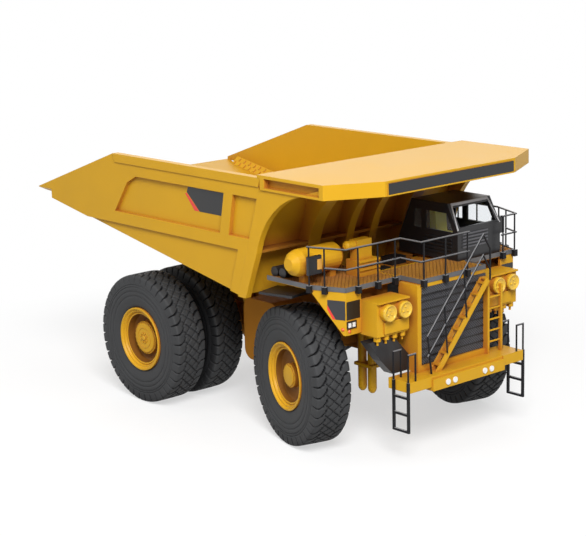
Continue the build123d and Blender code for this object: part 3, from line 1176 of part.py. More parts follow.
with BuildPart() as railing_right:
    shoulder = (DECK_SHOULDER, -SIDE_LINE)
    corner = (FRONT_LINE, -CORNER_Y)
    turn_in = (FRONT_LINE, -INNER_LINE)
    turn_out = (CENTRE_LINE, -INNER_LINE)
    head = (CENTRE_LINE, STAIR_HEAD_Y)
    rails([shoulder, corner, turn_in, turn_out, head],
          [along_edge(shoulder, corner, SECOND_POST), corner, turn_in, turn_out, head])
    posts_between(shoulder, corner, (MIRROR_POST, SECOND_POST))
    posts_between(corner, turn_in, RIGHT_POSTS)
    posts_between(turn_out, head, CENTRE_POSTS)
save(railing_right, "railing_right")

with BuildPart() as railing_left:
    inner_end = (FRONT_LINE, CAB_OUTER_Y - SOCKET_WIDTH)
    corner = (FRONT_LINE, CORNER_Y)
    shoulder = (DECK_SHOULDER, SIDE_LINE)
    rear_end = (DECK_REAR + EDGE, SIDE_LINE)
    rails([inner_end, corner, shoulder, rear_end], [inner_end, corner, along_edge(
        shoulder, corner, SECOND_POST)])
    rails([shoulder, rear_end], [shoulder, rear_end])
    posts_between(inner_end, corner, LEFT_POSTS)
    posts_between(shoulder, corner, (MIRROR_POST, SECOND_POST))
    posts_between(shoulder, rear_end, SIDE_POSTS)
save(railing_left, "railing_left")

# Stairway across the radiator: treads between two sloping stringers

STAIR_SLOPE = (DECK_TOP_Z - FOOT_DROP - PLATFORM_TOP_Z) / (STAIR_TOP_Y - STAIR_FOOT_Y)


def stair_z(y):
    """Height of the stair's lower edge at a place across the truck."""
    return PLATFORM_TOP_Z + STAIR_SLOPE * (y - STAIR_FOOT_Y)


with BuildPart() as stairway:
    head_y = STAIR_TOP_Y
    for front in (STAIR_REAR + STRINGER_THICKNESS, STAIR_FRONT):
        with BuildSketch(Plane.YZ.offset(ahead(front) - STRINGER_THICKNESS)) as stringer:
            with BuildLine():
                Polyline((STAIR_FOOT_Y, PLATFORM_TOP_Z),
                         (STAIR_FOOT_Y + STRINGER_DEPTH, PLATFORM_TOP_Z),
                         (head_y + STRINGER_DEPTH, stair_z(head_y)), (head_y, stair_z(head_y)),
                         close=True)
            make_face()
        extrude(stringer.sketch, amount=STRINGER_THICKNESS)
    pitch = (STAIR_TOP_Y - STAIR_FOOT_Y) / STAIR_STEPS
    for step in range(STAIR_STEPS):
        y = STAIR_FOOT_Y + (step + 0.5) * pitch
        block(STAIR_REAR, STAIR_FRONT, y, y + STRINGER_DEPTH, stair_z(y),
              stair_z(y) + TREAD_THICKNESS)
    # The top tread reaches back to the deck's edge
    block(DECK_CENTRE_FRONT, STAIR_FRONT, head_y, head_y + STRINGER_DEPTH,
          stair_z(head_y) - TREAD_THICKNESS, stair_z(head_y))
save(stairway, "stairway")

with BuildPart() as stair_handrails:
    middle = STAIR_FRONT + RAIL_BAR_RADIUS
    rise = STAIR_SLOPE * (STAIR_RAIL_APEX_Y - STAIR_RAIL_LOW_Y)
    low = Vector(middle, STAIR_RAIL_LOW_Y, stair_z(STAIR_RAIL_LOW_Y) + STAIR_RAIL_HEIGHT)
    apex = low + Vector(0, STAIR_RAIL_APEX_Y - STAIR_RAIL_LOW_Y, rise)
    turn = Vector(middle, STAIR_TOP_Y + STRINGER_DEPTH / 2, apex.Z - STAIR_RAIL_LEAN)
    drop = Vector(0, 0, MID_RAIL_DROP)
    top_rail = [(middle, low.Y + STAIR_RAIL_CURL, PLATFORM_TOP_Z), low, apex, turn,
                (middle, turn.Y, stair_z(STAIR_TOP_Y) - TREAD_THICKNESS)]
    wire([tuple(point) for point in top_rail], RAIL_BAR_RADIUS)
    wire([tuple(point - drop) for point in (low, apex, turn)], RAIL_BAR_RADIUS)
    for share in HANDRAIL_POSTS:
        head = low + (apex - low) * share
        foot_y = head.Y + STRINGER_DEPTH / 2
        wire([tuple(head), (middle, foot_y, stair_z(foot_y))], POST_RADIUS)
save(stair_handrails, "stair_handrails")

# Upright ladder between the radiator and the left lamps

with BuildPart() as grille_ladder:
    rail_front = GRILLE_FRAME_FRONT + GRILLE_LADDER_DEPTH
    for y in (GRILLE_LADDER_Y, GRILLE_LADDER_Y + GRILLE_LADDER_WIDTH):
        block(GRILLE_FRAME_FRONT, rail_front, y, y + GRILLE_LADDER_RAIL, PLATFORM_TOP_Z,
              GRILLE_LADDER_TOP_Z)
    pitch = (GRILLE_LADDER_TOP_Z - PLATFORM_TOP_Z) / (GRILLE_LADDER_RUNGS + 1)
    for rung in range(GRILLE_LADDER_RUNGS):
        z = PLATFORM_TOP_Z + (rung + 1) * pitch
        x = rail_front - GRILLE_LADDER_DEPTH / 2
        wire([(x, GRILLE_LADDER_Y, z), (x, GRILLE_LADDER_Y + GRILLE_LADDER_WIDTH, z)], RAIL_BAR_RADIUS)
save(grille_ladder, "grille_ladder")

# Side tanks behind the front wheels

for name, side, piece in (("right", RIGHT, "fuel_tank"), ("left", LEFT, "hydraulic_tank")):
    with BuildPart() as tank:
        with BuildSketch(Plane.XZ.offset(-max(side * TANK_OUTER_Y, side * RAIL_OUTER_Y))) as outline:
            with Locations((ahead((TANK_REAR + TANK_FRONT) / 2), (TANK_BOTTOM_Z + TANK_TOP_Z) / 2)):
                RectangleRounded(TANK_FRONT - TANK_REAR, TANK_TOP_Z - TANK_BOTTOM_Z, TANK_CORNER)
        extrude(outline.sketch, amount=TANK_OUTER_Y - RAIL_OUTER_Y)
    save(tank, piece)

# Paired steering accumulators hung from the frame ahead of the right wheel

with BuildPart() as accumulators:
    for place in (ACCUMULATOR_FIRST, ACCUMULATOR_FIRST + ACCUMULATOR_SPACING):
        domed((place, -ACCUMULATOR_Y, ACCUMULATOR_TOP_Z), (0, 0, -1),
              ACCUMULATOR_TOP_Z - ACCUMULATOR_BOTTOM_Z, ACCUMULATOR_RADIUS, ACCUMULATOR_RADIUS)
    block(ACCUMULATOR_FIRST - STRAP_REACH, ACCUMULATOR_FIRST + ACCUMULATOR_SPACING + STRAP_REACH,
          -ACCUMULATOR_Y - STRAP_REACH, -ACCUMULATOR_Y + STRAP_REACH, STRAP_Z, STRAP_Z + STRAP_HEIGHT)
    block(ACCUMULATOR_FIRST - 1, ACCUMULATOR_FIRST + ACCUMULATOR_SPACING + 1,
          -ACCUMULATOR_Y, -RAIL_OUTER_Y, CLAMP_Z, CLAMP_Z + CLAMP_HEIGHT)
save(accumulators, "accumulators")

# Air cleaner across the right deck, with its stand

with BuildPart() as air_cleaner:
    domed((AIR_CLEANER_X, -AIR_CLEANER_INNER_Y, AIR_CLEANER_Z), (0, -1, 0),
          AIR_CLEANER_OUTER_Y - AIR_CLEANER_INNER_Y, AIR_CLEANER_RADIUS, AIR_CLEANER_DOME,
          AIR_CLEANER_SIDES, AIR_CLEANER_DOME / 2)
    for y in (AIR_CLEANER_INNER_Y + STAND_INSET, DECK_SIDE_Y - STAND_INSET):
        block(AIR_CLEANER_X - STAND_HALF, AIR_CLEANER_X + STAND_HALF, -y - STAND_HALF, -y + STAND_HALF,
              DECK_TOP_Z, AIR_CLEANER_Z - AIR_CLEANER_RADIUS + 1)
save(air_cleaner, "air_cleaner")

# Equipment on and under the right deck: exhaust pipes, a louvred hood, an intake box and a side step

with BuildPart() as exhaust_pipes:
    for x in (PIPE_FIRST, PIPE_FIRST - PIPE_SPACING):
        z = DECK_TOP_Z + PIPE_RADIUS
        wire([(x, -PIPE_OUTER_Y, z), (x, -PIPE_INNER_Y, z)], PIPE_RADIUS, PIPE_SIDES)
save(exhaust_pipes, "exhaust_pipes")

with BuildPart() as deck_hood:
    block(HOOD_REAR, HOOD_FRONT, -HOOD_OUTER_Y, -DECK_CENTRE_HALF_WIDTH - 1, DECK_TOP_Z, HOOD_TOP_Z)
    pitch = (HOOD_TOP_Z - DECK_TOP_Z) / (HOOD_SLOTS + 1)
    for slot in range(HOOD_SLOTS):
        z = DECK_TOP_Z + (slot + 1) * pitch
        block(HOOD_FRONT - HOOD_SLOT_DEPTH, HOOD_FRONT + PAST, -HOOD_OUTER_Y - PAST,
              -DECK_CENTRE_HALF_WIDTH, z, z + HOOD_SLOT_HEIGHT, Mode.SUBTRACT)
save(deck_hood, "deck_hood")

with BuildPart() as intake_box:
    block(INTAKE_REAR, INTAKE_FRONT, -INTAKE_OUTER_Y, -INTAKE_INNER_Y, HOOD_TOP_Z, INTAKE_TOP_Z)
    pipe_root = (INTAKE_REAR + INTAKE_PIPE_RADIUS, -INTAKE_OUTER_Y, INTAKE_TOP_Z - INTAKE_PIPE_RADIUS)
    domed(pipe_root, (0, -1, 0), INTAKE_PIPE_LENGTH, INTAKE_PIPE_RADIUS, INTAKE_PIPE_RADIUS / 2)
save(intake_box, "intake_box")

with BuildPart() as side_step:
    step_run = Vector(1, 0, 0).rotate(Axis.Z, STEP_TURN)
    with Locations(Plane(origin=(ahead(STEP_X), -STEP_Y, STEP_Z), x_dir=step_run, z_dir=(0, 0, 1))):
        Box(STEP_LENGTH, STEP_WIDTH, STEP_THICKNESS)
    block(STEP_X - STEP_ARM, STEP_X + STEP_ARM, -STEP_Y, -RAIL_OUTER_Y, STEP_Z - STEP_ARM,
          STEP_Z - STEP_THICKNESS / 2)
save(side_step, "side_step")

# Black duct that bends down beside the radiator, ahead of the right front wheel

with BuildPart() as air_duct:
    side_points = [(-DUCT_OUTER_TOP_Y, DUCT_TOP_Z), (-DUCT_OUTER_MIDDLE_Y, DUCT_MIDDLE_Z),
                   (-DUCT_OUTER_FOOT_Y, DUCT_FOOT_Z), (-DUCT_INNER_FOOT_Y, DUCT_FOOT_Z),
                   (-DUCT_INNER_FOOT_Y, DUCT_MIDDLE_Z), (-DUCT_INNER_TOP_Y, DUCT_TOP_Z)]
    with BuildSketch(Plane.YZ.offset(ahead(DUCT_REAR))) as duct_face:
        with BuildLine():
            Polyline(*side_points, close=True)
        make_face()
    extrude(duct_face.sketch, amount=DUCT_FRONT - DUCT_REAR)
save(air_duct, "air_duct")

# Mirrors on the outer corner posts of the railings

for name, side in SIDES.items():
    with BuildPart() as mirror_box:
        mirror_rear = DECK_SHOULDER + POST_RADIUS + 1
        block(mirror_rear, mirror_rear + MIRROR_THICKNESS, side * MIRROR_INNER_Y, side * MIRROR_OUTER_Y,
              MIRROR_BOTTOM_Z, MIRROR_TOP_Z)
    save(mirror_box, f"mirror_{name}")
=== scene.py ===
# %% [markdown]
# # Dressing a 1:50 mining dump truck
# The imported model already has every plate, wheel and rail at its real place. This lesson gives it the
# finishes of a die-cast display model and the small surfaces that are too fine for the solids.

# %% Start
import json

import bmesh
import bpy
import numpy as np
from mathutils import Matrix, Vector


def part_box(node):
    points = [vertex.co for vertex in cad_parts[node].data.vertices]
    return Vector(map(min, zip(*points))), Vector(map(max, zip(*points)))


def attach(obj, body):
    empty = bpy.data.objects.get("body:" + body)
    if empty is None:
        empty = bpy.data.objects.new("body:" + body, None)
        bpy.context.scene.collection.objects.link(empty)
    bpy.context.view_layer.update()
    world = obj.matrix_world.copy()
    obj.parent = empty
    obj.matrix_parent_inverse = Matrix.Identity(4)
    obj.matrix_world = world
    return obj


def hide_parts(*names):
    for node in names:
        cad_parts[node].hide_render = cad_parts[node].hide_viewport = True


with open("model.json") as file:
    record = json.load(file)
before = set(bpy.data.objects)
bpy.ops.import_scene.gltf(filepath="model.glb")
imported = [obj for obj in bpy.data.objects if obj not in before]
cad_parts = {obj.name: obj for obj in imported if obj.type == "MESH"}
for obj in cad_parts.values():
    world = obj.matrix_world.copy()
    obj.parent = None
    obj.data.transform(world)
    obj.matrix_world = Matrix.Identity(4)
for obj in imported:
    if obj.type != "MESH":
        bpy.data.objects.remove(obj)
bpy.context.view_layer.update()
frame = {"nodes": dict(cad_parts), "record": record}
nodes = frame["nodes"]
MM = 0.001
print("pieces in the frame:", len(nodes))

# %% [markdown]
# Places in the picture are easiest to think about from the front axle, because everything on the real
# truck is laid out from it. The tyres tell where it is: each is turned about its own axle, so the middle
# of its box is the middle of the wheel. Steering moves one front wheel ahead and the other back by the
# same length, so the axle lies midway between them.

# %% Axles and wheels
SIDES = {"left": 1, "right": -1}
STEER = np.radians(-14.0)


def middle(node):
    """Middle of a node's box, in metres."""
    low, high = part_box(node)
    return (low + high) / 2


FRONT_AXLE_X = sum(middle(f"front_tyre_{name}").x for name in SIDES) / 2
TYRE_RADIUS = (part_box("rear_tyres_right")[1].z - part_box("rear_tyres_right")[0].z) / 2
print("front axle", round(FRONT_AXLE_X, 4), "tyre radius", round(TYRE_RADIUS, 4))

# %% [markdown]
# A photograph is matched by the camera first. The lens and place below were worked out by fitting the
# real sizes of wheels, bed and bumper to the picture, which is why they are not round numbers. The
# object is small and the lens is long, so the camera stands almost a metre away.

# %% Camera
CAMERA_PLACE = Vector((0.670267, -0.582587, 0.271470))
CAMERA_RIGHT = Vector((0.66191506, 0.74917617, -0.02456662))
CAMERA_UP = Vector((-0.14955032, 0.16410435, 0.97504075))
CAMERA_BACK = Vector((0.73450878, -0.64172021, 0.22066267))
IMAGE_WIDTH = 586
FOCAL_PIXELS = 1655.2
SENSOR_WIDTH = 36.0

camera_data = bpy.data.cameras.new("photo_camera")
camera_data.sensor_fit = "HORIZONTAL"
camera_data.sensor_width = SENSOR_WIDTH
camera_data.lens = FOCAL_PIXELS / IMAGE_WIDTH * SENSOR_WIDTH
camera = bpy.data.objects.new("photo_camera", camera_data)
bpy.context.scene.collection.objects.link(camera)
turn = Matrix((CAMERA_RIGHT, CAMERA_UP, CAMERA_BACK)).transposed().to_4x4()
camera.matrix_world = Matrix.Translation(CAMERA_PLACE) @ turn
bpy.context.scene.camera = camera
bpy.context.scene.view_settings.view_transform = "Standard"
print("lens", round(camera_data.lens, 1), "mm")

# %% [markdown]
# The studio is a pale floor and soft lamps. The key lamp stands high and close to the camera, so both
# the near side and the front are lit and what lies under the deck falls into shade. A low lamp behind
# the truck is there for its reflection on the flat tops. The world is white where the camera sees it,
# straight, off a gloss or through glass, and much dimmer for everything else, so the background stays
# clean and shade stays deep.

# %% Studio
LOOK_AT = Vector((0.0, 0.0, 0.07))
AMBIENT = 0.22


def soft_lamp(name, place, size, power):
    """A square area lamp at a place, turned to face the model."""
    data = bpy.data.lights.new(name, "AREA")
    data.shape = "SQUARE"
    data.size = size
    data.energy = power
    lamp = bpy.data.objects.new(name, data)
    bpy.context.scene.collection.objects.link(lamp)
    facing = (LOOK_AT - Vector(place)).to_track_quat("-Z", "Y").to_matrix().to_4x4()
    lamp.matrix_world = Matrix.Translation(place) @ facing


def seen_directly(tree):
    """A socket that is 1 on rays from the camera, off a gloss or through glass, and 0 on others."""
    rays = tree.nodes.new("ShaderNodeLightPath")
    total = rays.outputs["Is Camera Ray"]
    for kind in ("Is Glossy Ray", "Is Transmission Ray"):
        either = tree.nodes.new("ShaderNodeMath")
        either.operation = "MAXIMUM"
        tree.links.new(total, either.inputs[0])
        tree.links.new(rays.outputs[kind], either.inputs[1])
        total = either.outputs[0]
    return total


def background(tree, strength):
    """A socket of white background light of a given strength."""
    shader = tree.nodes.new("ShaderNodeBackground")
    shader.inputs["Color"].default_value = (1.0, 1.0, 1.0, 1.0)
    shader.inputs["Strength"].default_value = strength
    return shader.outputs[0]


def blended(tree, share, first, second):
    """A shader socket that goes from the first shader to the second as share goes from 0 to 1."""
    mix = tree.nodes.new("ShaderNodeMixShader")
    for place, source in enumerate((share, first, second)):
        tree.links.new(source, mix.inputs[place])
    return mix.outputs[0]


soft_lamp("key_lamp", (0.8, -0.58, 0.85), 0.5, 18.5)
soft_lamp("side_lamp", (-0.7, -1.0, 0.75), 0.5, 2.5)
soft_lamp("top_lamp", (-0.1, 0.15, 1.3), 0.8, 2.0)
soft_lamp("back_lamp", (-0.95, 0.85, 0.55), 1.1, 3.5)

world = bpy.data.worlds.new("studio")
bpy.context.scene.world = world
world.use_nodes = True
sky = world.node_tree
sky.nodes.clear()
world_out = sky.nodes.new("ShaderNodeOutputWorld")
daylight = blended(sky, seen_directly(sky), background(sky, AMBIENT), background(sky, 1.0))
sky.links.new(daylight, world_out.inputs["Surface"])
print("lamps:", ", ".join(lamp.name for lamp in bpy.data.lights))

# %% [markdown]
# A finish is more than a colour. Every material here is one function that takes the colour, how much
# it drifts, how rough it is and how its fine bumps run. Noise on Object coordinates drives all three,
# so the pattern stays on the piece from any side and at any pose. On painted castings the corners are
# never quite sharp, and the Bevel node gives them that thin bright line without touching the mesh.
# Occlusion blends a second, deeper colour into recesses, which is painted shade, and a lighter colour
# can be mixed into faces that look up, which is a painted highlight.
# Five short helpers come first, which make nodes, set them and join them.

# %% Material helper
EDGE_ROUND = 0.00025
RECESS_REACH = 0.02
RECESS_FULL, RECESS_NONE = 0.3, 0.8
TOP_HIGHLIGHT_NONE, TOP_HIGHLIGHT_FULL = 0.3, 0.85
PATCH_ENDS = (0.3, 0.7)
PATCH_DETAIL, GRAIN_DETAIL = 3.0, 2.0
SMOOTHEST, ROUGHEST = 0.9, 1.12
GRAIN_HEIGHT = 0.0005
COAT_ROUGHNESS = 0.25
RECESS_SAMPLES, EDGE_SAMPLES = 6, 4


def node_with(tree, kind, values):
    """A new node of a kind, with the given value on each named input."""
    node = tree.nodes.new(kind)
    for socket, value in values.items():
        node.inputs[socket].default_value = value
    return node


def noise(tree, where, scale, detail):
    """A socket of noise from 0 to 1 on a coordinate."""
    texture = node_with(tree, "ShaderNodeTexNoise", {"Scale": scale, "Detail": detail})
    tree.links.new(where, texture.inputs["Vector"])
    return texture.outputs["Fac"]


def remapped(tree, value, low, high, to_low=0.0, to_high=1.0):
    """A socket that is to_low where value is low, to_high where it is high, and straight between."""
    ends = {"From Min": low, "From Max": high, "To Min": to_low, "To Max": to_high}
    node = node_with(tree, "ShaderNodeMapRange", ends)
    tree.links.new(value, node.inputs["Value"])
    return node.outputs["Result"]


def tinted(tree, share, first, second):
    """A colour from first to second as share goes from 0 to 1, each a tuple or a socket."""
    mix = tree.nodes.new("ShaderNodeMixRGB")
    tree.links.new(share, mix.inputs["Fac"])
    for socket, source in (("Color1", first), ("Color2", second)):
        if isinstance(source, tuple):
            mix.inputs[socket].default_value = (*source, 1.0)
        else:
            tree.links.new(source, mix.inputs[socket])
    return mix.outputs["Color"]


def patchy(tree, patches, colour, drift):
    """A colour that falls by the share drift where the patches' noise is low."""
    ramp = tree.nodes.new("ShaderNodeValToRGB")
    darker = tuple(channel * (1 - drift) for channel in colour)
    for stop, place, tone in zip(ramp.color_ramp.elements, PATCH_ENDS, (darker, colour)):
        stop.position = place
        stop.color = (*tone, 1.0)
    tree.links.new(patches, ramp.inputs["Fac"])
    return ramp.outputs["Color"]


def finish(name, colour, rough, *, drift=0.06, drift_scale=40.0, bump=0.02, bump_scale=900.0,
           metallic=0.0, coat=0.0, specular=0.5, recess_shade=None, top_highlight=None, rounded=False):
    """A principled finish whose colour and roughness drift with noise and whose grain is a bump.

    drift is the share by which the darker patches fall below the colour. The recess colour is painted
    shade: it takes over where other surfaces stand close around, from none of it where four fifths of
    the view outward is open to all of it where less than a third is. The upward colour is a painted
    highlight on faces that look up, mixed in as the upward part of the face's direction grows.
    """
    material = bpy.data.materials.new(name)
    material.use_nodes = True
    tree = material.node_tree
    tree.nodes.clear()
    join = tree.links.new
    output = tree.nodes.new("ShaderNodeOutputMaterial")
    shader = node_with(tree, "ShaderNodeBsdfPrincipled", {
        "Metallic": metallic, "Specular IOR Level": specular, "Coat Weight": coat,
        "Coat Roughness": COAT_ROUGHNESS})
    join(shader.outputs[0], output.inputs["Surface"])
    where = tree.nodes.new("ShaderNodeTexCoord")
    patches = noise(tree, where.outputs["Object"], drift_scale, PATCH_DETAIL)
    paint = patchy(tree, patches, colour, drift)
    # Painted shade: occlusion turns the colour toward the recess colour where other surfaces stand
    # close.
    if recess_shade:
        closeness = node_with(tree, "ShaderNodeAmbientOcclusion", {"Distance": RECESS_REACH})
        closeness.samples = RECESS_SAMPLES
        openness = remapped(tree, closeness.outputs["AO"], RECESS_FULL, RECESS_NONE)
        paint = tinted(tree, openness, recess_shade, paint)
    # Painted highlight: faces that look up turn toward a lighter colour.
    if top_highlight:
        upward = tree.nodes.new("ShaderNodeSeparateXYZ")
        join(where.outputs["Normal"], upward.inputs[0])
        share = remapped(tree, upward.outputs["Z"], TOP_HIGHLIGHT_NONE, TOP_HIGHLIGHT_FULL)
        paint = tinted(tree, share, paint, top_highlight)
    join(paint, shader.inputs["Base Color"])
    roughness = remapped(tree, patches, 0.0, 1.0, rough * SMOOTHEST, min(1.0, rough * ROUGHEST))
    join(roughness, shader.inputs["Roughness"])
    relief = node_with(tree, "ShaderNodeBump", {"Strength": bump, "Distance": GRAIN_HEIGHT})
    grain = noise(tree, where.outputs["Object"], bump_scale, GRAIN_DETAIL)
    join(grain, relief.inputs["Height"])
    join(relief.outputs["Normal"], shader.inputs["Normal"])
    if rounded:
        corner = node_with(tree, "ShaderNodeBevel", {"Radius": EDGE_ROUND})
        corner.samples = EDGE_SAMPLES
        join(corner.outputs["Normal"], relief.inputs["Normal"])
    return material


# %% [markdown]
# The model has few finishes. Its castings are sprayed a deep construction yellow with a soft gloss.
# The cab, grille and mirrors are black plastic, the railings are black wire, and the tyres are a dull
# rubber that looks grey wherever light grazes it. Decals are flat inks, dark grey, red and orange.
# Castings under the deck get a browner colour than the slot's own, a painted shade for the shade they
# lie in.

# %% Finishes
YELLOW = (0.62, 0.335, 0.012)
# Painted shade: the brown that the yellow turns to in recesses.
SHADE_BROWN = (0.42, 0.145, 0.02)
finishes = {
    "yellow_paint": finish("yellow_enamel", YELLOW, 0.42, drift=0.05, specular=0.2, recess_shade=SHADE_BROWN,
                           rounded=True),
    "black_plastic": finish("black_plastic", (0.012, 0.012, 0.014), 0.38, drift=0.2, bump=0.03,
                            rounded=True),
    # The wire's lighter grey on its upward faces is a painted highlight.
    "black_wire": finish("black_wire", (0.012, 0.012, 0.014), 0.4, drift=0.2, specular=0.15,
                         top_highlight=(0.30, 0.30, 0.31)),
    # The tyre's near-black in its grooves and between the pair is painted shade.
    "tyre_rubber": finish("tyre_rubber", (0.046, 0.047, 0.049), 0.62, drift=0.18, bump=0.08,
                          bump_scale=2500.0, specular=0.2, recess_shade=(0.006, 0.006, 0.007)),
    "seat_yellow": finish("seat_yellow", (0.62, 0.55, 0.03), 0.55, drift=0.05),
    "lamp_white": finish("lamp_white", (0.82, 0.82, 0.8), 0.25, drift=0.03),
    "dark_metal": finish("dark_metal", (0.03, 0.03, 0.033), 0.5, drift=0.2),
    "bright_rod": finish("bright_rod", (0.6, 0.6, 0.6), 0.25, drift=0.04, metallic=1.0),
}
inks = {
    "dark": finish("dark_decal", (0.028, 0.028, 0.033), 0.3, drift=0.12, bump=0.01),
    "black": finish("black_decal", (0.01, 0.01, 0.011), 0.28, drift=0.15, bump=0.01),
    "red": finish("red_decal", (0.72, 0.045, 0.03), 0.35, drift=0.06, bump=0.01),
    "orange": finish("orange_lens", (0.75, 0.12, 0.02), 0.25, drift=0.08, bump=0.01),
    "white": finish("white_ink", (0.75, 0.75, 0.74), 0.35, drift=0.03, bump=0.01),
    # A painted highlight along the deck's lit edges.
    "grey": finish("lip_highlight", (0.11, 0.11, 0.115), 0.5, drift=0.12, bump=0.04),
    "tread": finish("brown_tread", (0.22, 0.095, 0.02), 0.55, drift=0.15, bump=0.05),
    "mesh": finish("grille_wire", (0.10, 0.10, 0.11), 0.45, drift=0.15, specular=0.3),
    # Painted shade: a browner yellow for castings, covers and rivets that lie in shade under the deck.
    "frame": finish("painted_shade_brown", (0.44, 0.18, 0.02), 0.6, drift=0.1, specular=0.1,
                    recess_shade=(0.22, 0.075, 0.012), rounded=True),
    # Painted shade for the rim's deep dish.
    "dish": finish("rim_dish_painted_shade", (0.20, 0.078, 0.012), 0.5, drift=0.1, specular=0.15),
}
# Castings under the deck whose yellow is swapped for the painted shade brown.
SHADED = ["chassis_frame", "rear_axle_housing", "rear_struts", "front_struts", "engine_block",
          "knuckle_left", "knuckle_right", "canopy_shelves", "air_duct", "fuel_tank"]


def pane_material():
    """Clear styrene: mostly transmission, faintly grey, with a light ripple in its gloss."""
    material = finish("clear_pane", (0.9, 0.93, 0.95), 0.06, drift=0.02, bump=0.01)
    shader = material.node_tree.nodes["Principled BSDF"]
    shader.inputs["Transmission Weight"].default_value = 0.95
    shader.inputs["IOR"].default_value = 1.1
    return material


finishes["clear_pane"] = pane_material()
slot_of = {entry["node"]: entry["material_slot"] for entry in frame["record"]["subparts"]}
for node, obj in nodes.items():
    obj.data.materials.clear()
    shaded = node in SHADED and slot_of[node] == "yellow_paint"
    obj.data.materials.append(inks["frame"] if shaded else finishes[slot_of[node]])
print("finishes:", ", ".join(sorted(finishes)))

# %% [markdown]
# New surfaces are worked out as whole arrays. A shape here is a pair, its points and its faces, so
# that many small shapes can be stacked into one mesh before Blender sees them. The helpers below turn
# a grid of points into four-sided faces, number a prism's faces, and make a stack of shapes into one
# finished piece.

# %% Mesh helpers
WELD = 1e-7


def grid(points, *, wrap_u=False, wrap_v=False):
    """A surface from an array of points shaped (u, v, 3), its faces facing u cross v."""
    rows, columns = points.shape[:2]
    index = np.arange(rows * columns).reshape(rows, columns)
    if wrap_u:
        index = np.vstack([index, index[:1]])
    if wrap_v:
        index = np.hstack([index, index[:, :1]])
    quads = np.stack([index[:-1, :-1], index[1:, :-1], index[1:, 1:], index[:-1, 1:]], axis=-1)
    return points.reshape(-1, 3), quads.reshape(-1, 4).tolist()


def prism_faces(count):
    """Faces of a prism whose low ring of points comes first and whose high ring follows."""
    ends = [list(range(count - 1, -1, -1)), list(range(count, 2 * count))]
    return ends + [[k, (k + 1) % count, count + (k + 1) % count, count + k] for k in range(count)]


def stack(shapes):
    """Many shapes as one: points one after another, and faces counted on from them."""
    points, faces, first = [], [], 0
    for shape_points, shape_faces in shapes:
        points.append(np.asarray(shape_points, float))
        faces += [[corner + first for corner in face] for face in shape_faces]
        first += len(shape_points)
    return np.vstack(points), faces


def piece(name, shapes, body, slot, material=None, *, stands_for=(), sharp=35.0):
    """One object made of shapes, welded at seams and poles, with its finish and body; the slot's finish
    is used where no material is given.
    """
    points, faces = stack(shapes)
    mesh = bpy.data.meshes.new(name)
    mesh.from_pydata(points.tolist(), [], faces)
    welder = bmesh.new()
    welder.from_mesh(mesh)
    bmesh.ops.remove_doubles(welder, verts=welder.verts, dist=WELD)
    welder.to_mesh(mesh)
    welder.free()
    mesh.polygons.foreach_set("use_smooth", np.ones(len(mesh.polygons), bool))
    mesh.set_sharp_from_angle(angle=np.radians(sharp))
    mesh.materials.append(material or finishes[slot])
    mesh.update()
    obj = bpy.data.objects.new(name, mesh)
    bpy.context.scene.collection.objects.link(obj)
    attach(obj, body)
    if stands_for:
        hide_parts(*stands_for)
    triangles = sum(len(face.vertices) - 2 for face in mesh.polygons)
    print(name, triangles, "triangles")


# %% [markdown]
# Every small form is described in a flat space of its own and then laid where it belongs. A place is
# an origin with three directions: across, up, and out of the surface. Most of the truck's faces look
# along an axis, so one call makes such a place from a point ahead of the front axle. The two halves of
# the truck match, so what is worked out on the right is mirrored to the left.

# %% Places
RIGHTWARD = ((1, 0, 0), (0, 0, 1))
FRONTWARD = ((0, 1, 0), (0, 0, 1))
UPWARD = ((1, 0, 0), (0, 1, 0))
OFF_EVERY_ROD = (0.31, 0.17, 0.93)


def spot(ahead, y, z):
    """A point given in millimetres ahead of the front axle, to the left and up, in metres."""
    return np.array([FRONT_AXLE_X + ahead * MM, y * MM, z * MM])


def laid(points, origin, across, up):
    """Local (a, b, c) points in millimetres: origin + a across + b up + c out, in metres."""
    across, up = (np.asarray(v, float) / np.linalg.norm(v) for v in (across, up))
    out = np.cross(across, up)
    return np.asarray(origin) + points @ np.array([across, up, out]) * MM


def plate(outline, thickness, origin, across, up, *, lift=0.0):
    """A flat plate: an outline of (a, b) corners, anticlockwise, raised from lift by a thickness."""
    corners = np.asarray(outline, float)
    count = len(corners)
    low = np.column_stack([corners, np.full(count, lift)])
    high = np.column_stack([corners, np.full(count, lift + thickness)])
    return laid(np.vstack([low, high]), origin, across, up), prism_faces(count)


def oblong(low_a, high_a, low_b, high_b):
    """The outline of a rectangle between two corners, anticlockwise."""
    return [(low_a, low_b), (high_a, low_b), (high_a, high_b), (low_a, high_b)]


def upright_box(low_x, high_x, low_y, high_y, low_z, high_z):
    """A closed box between two corners given ahead of the front axle, in millimetres."""
    return plate(oblong(low_x, high_x, low_y, high_y), high_z - low_z, spot(0, 0, low_z), *UPWARD)


def turned(profile, segments, origin, across, up):
    """A profile of (out, radius) points turned about the out direction, facing away from it."""
    out, radius = np.asarray(profile, float).T
    angle = np.linspace(0, 2 * np.pi, segments, endpoint=False)[:, None]
    points = np.stack([radius * np.cos(angle), radius * np.sin(angle), out + 0 * angle], axis=-1)
    placed = laid(points.reshape(-1, 3), origin, across, up)
    return grid(placed.reshape(points.shape)[::-1], wrap_u=True)


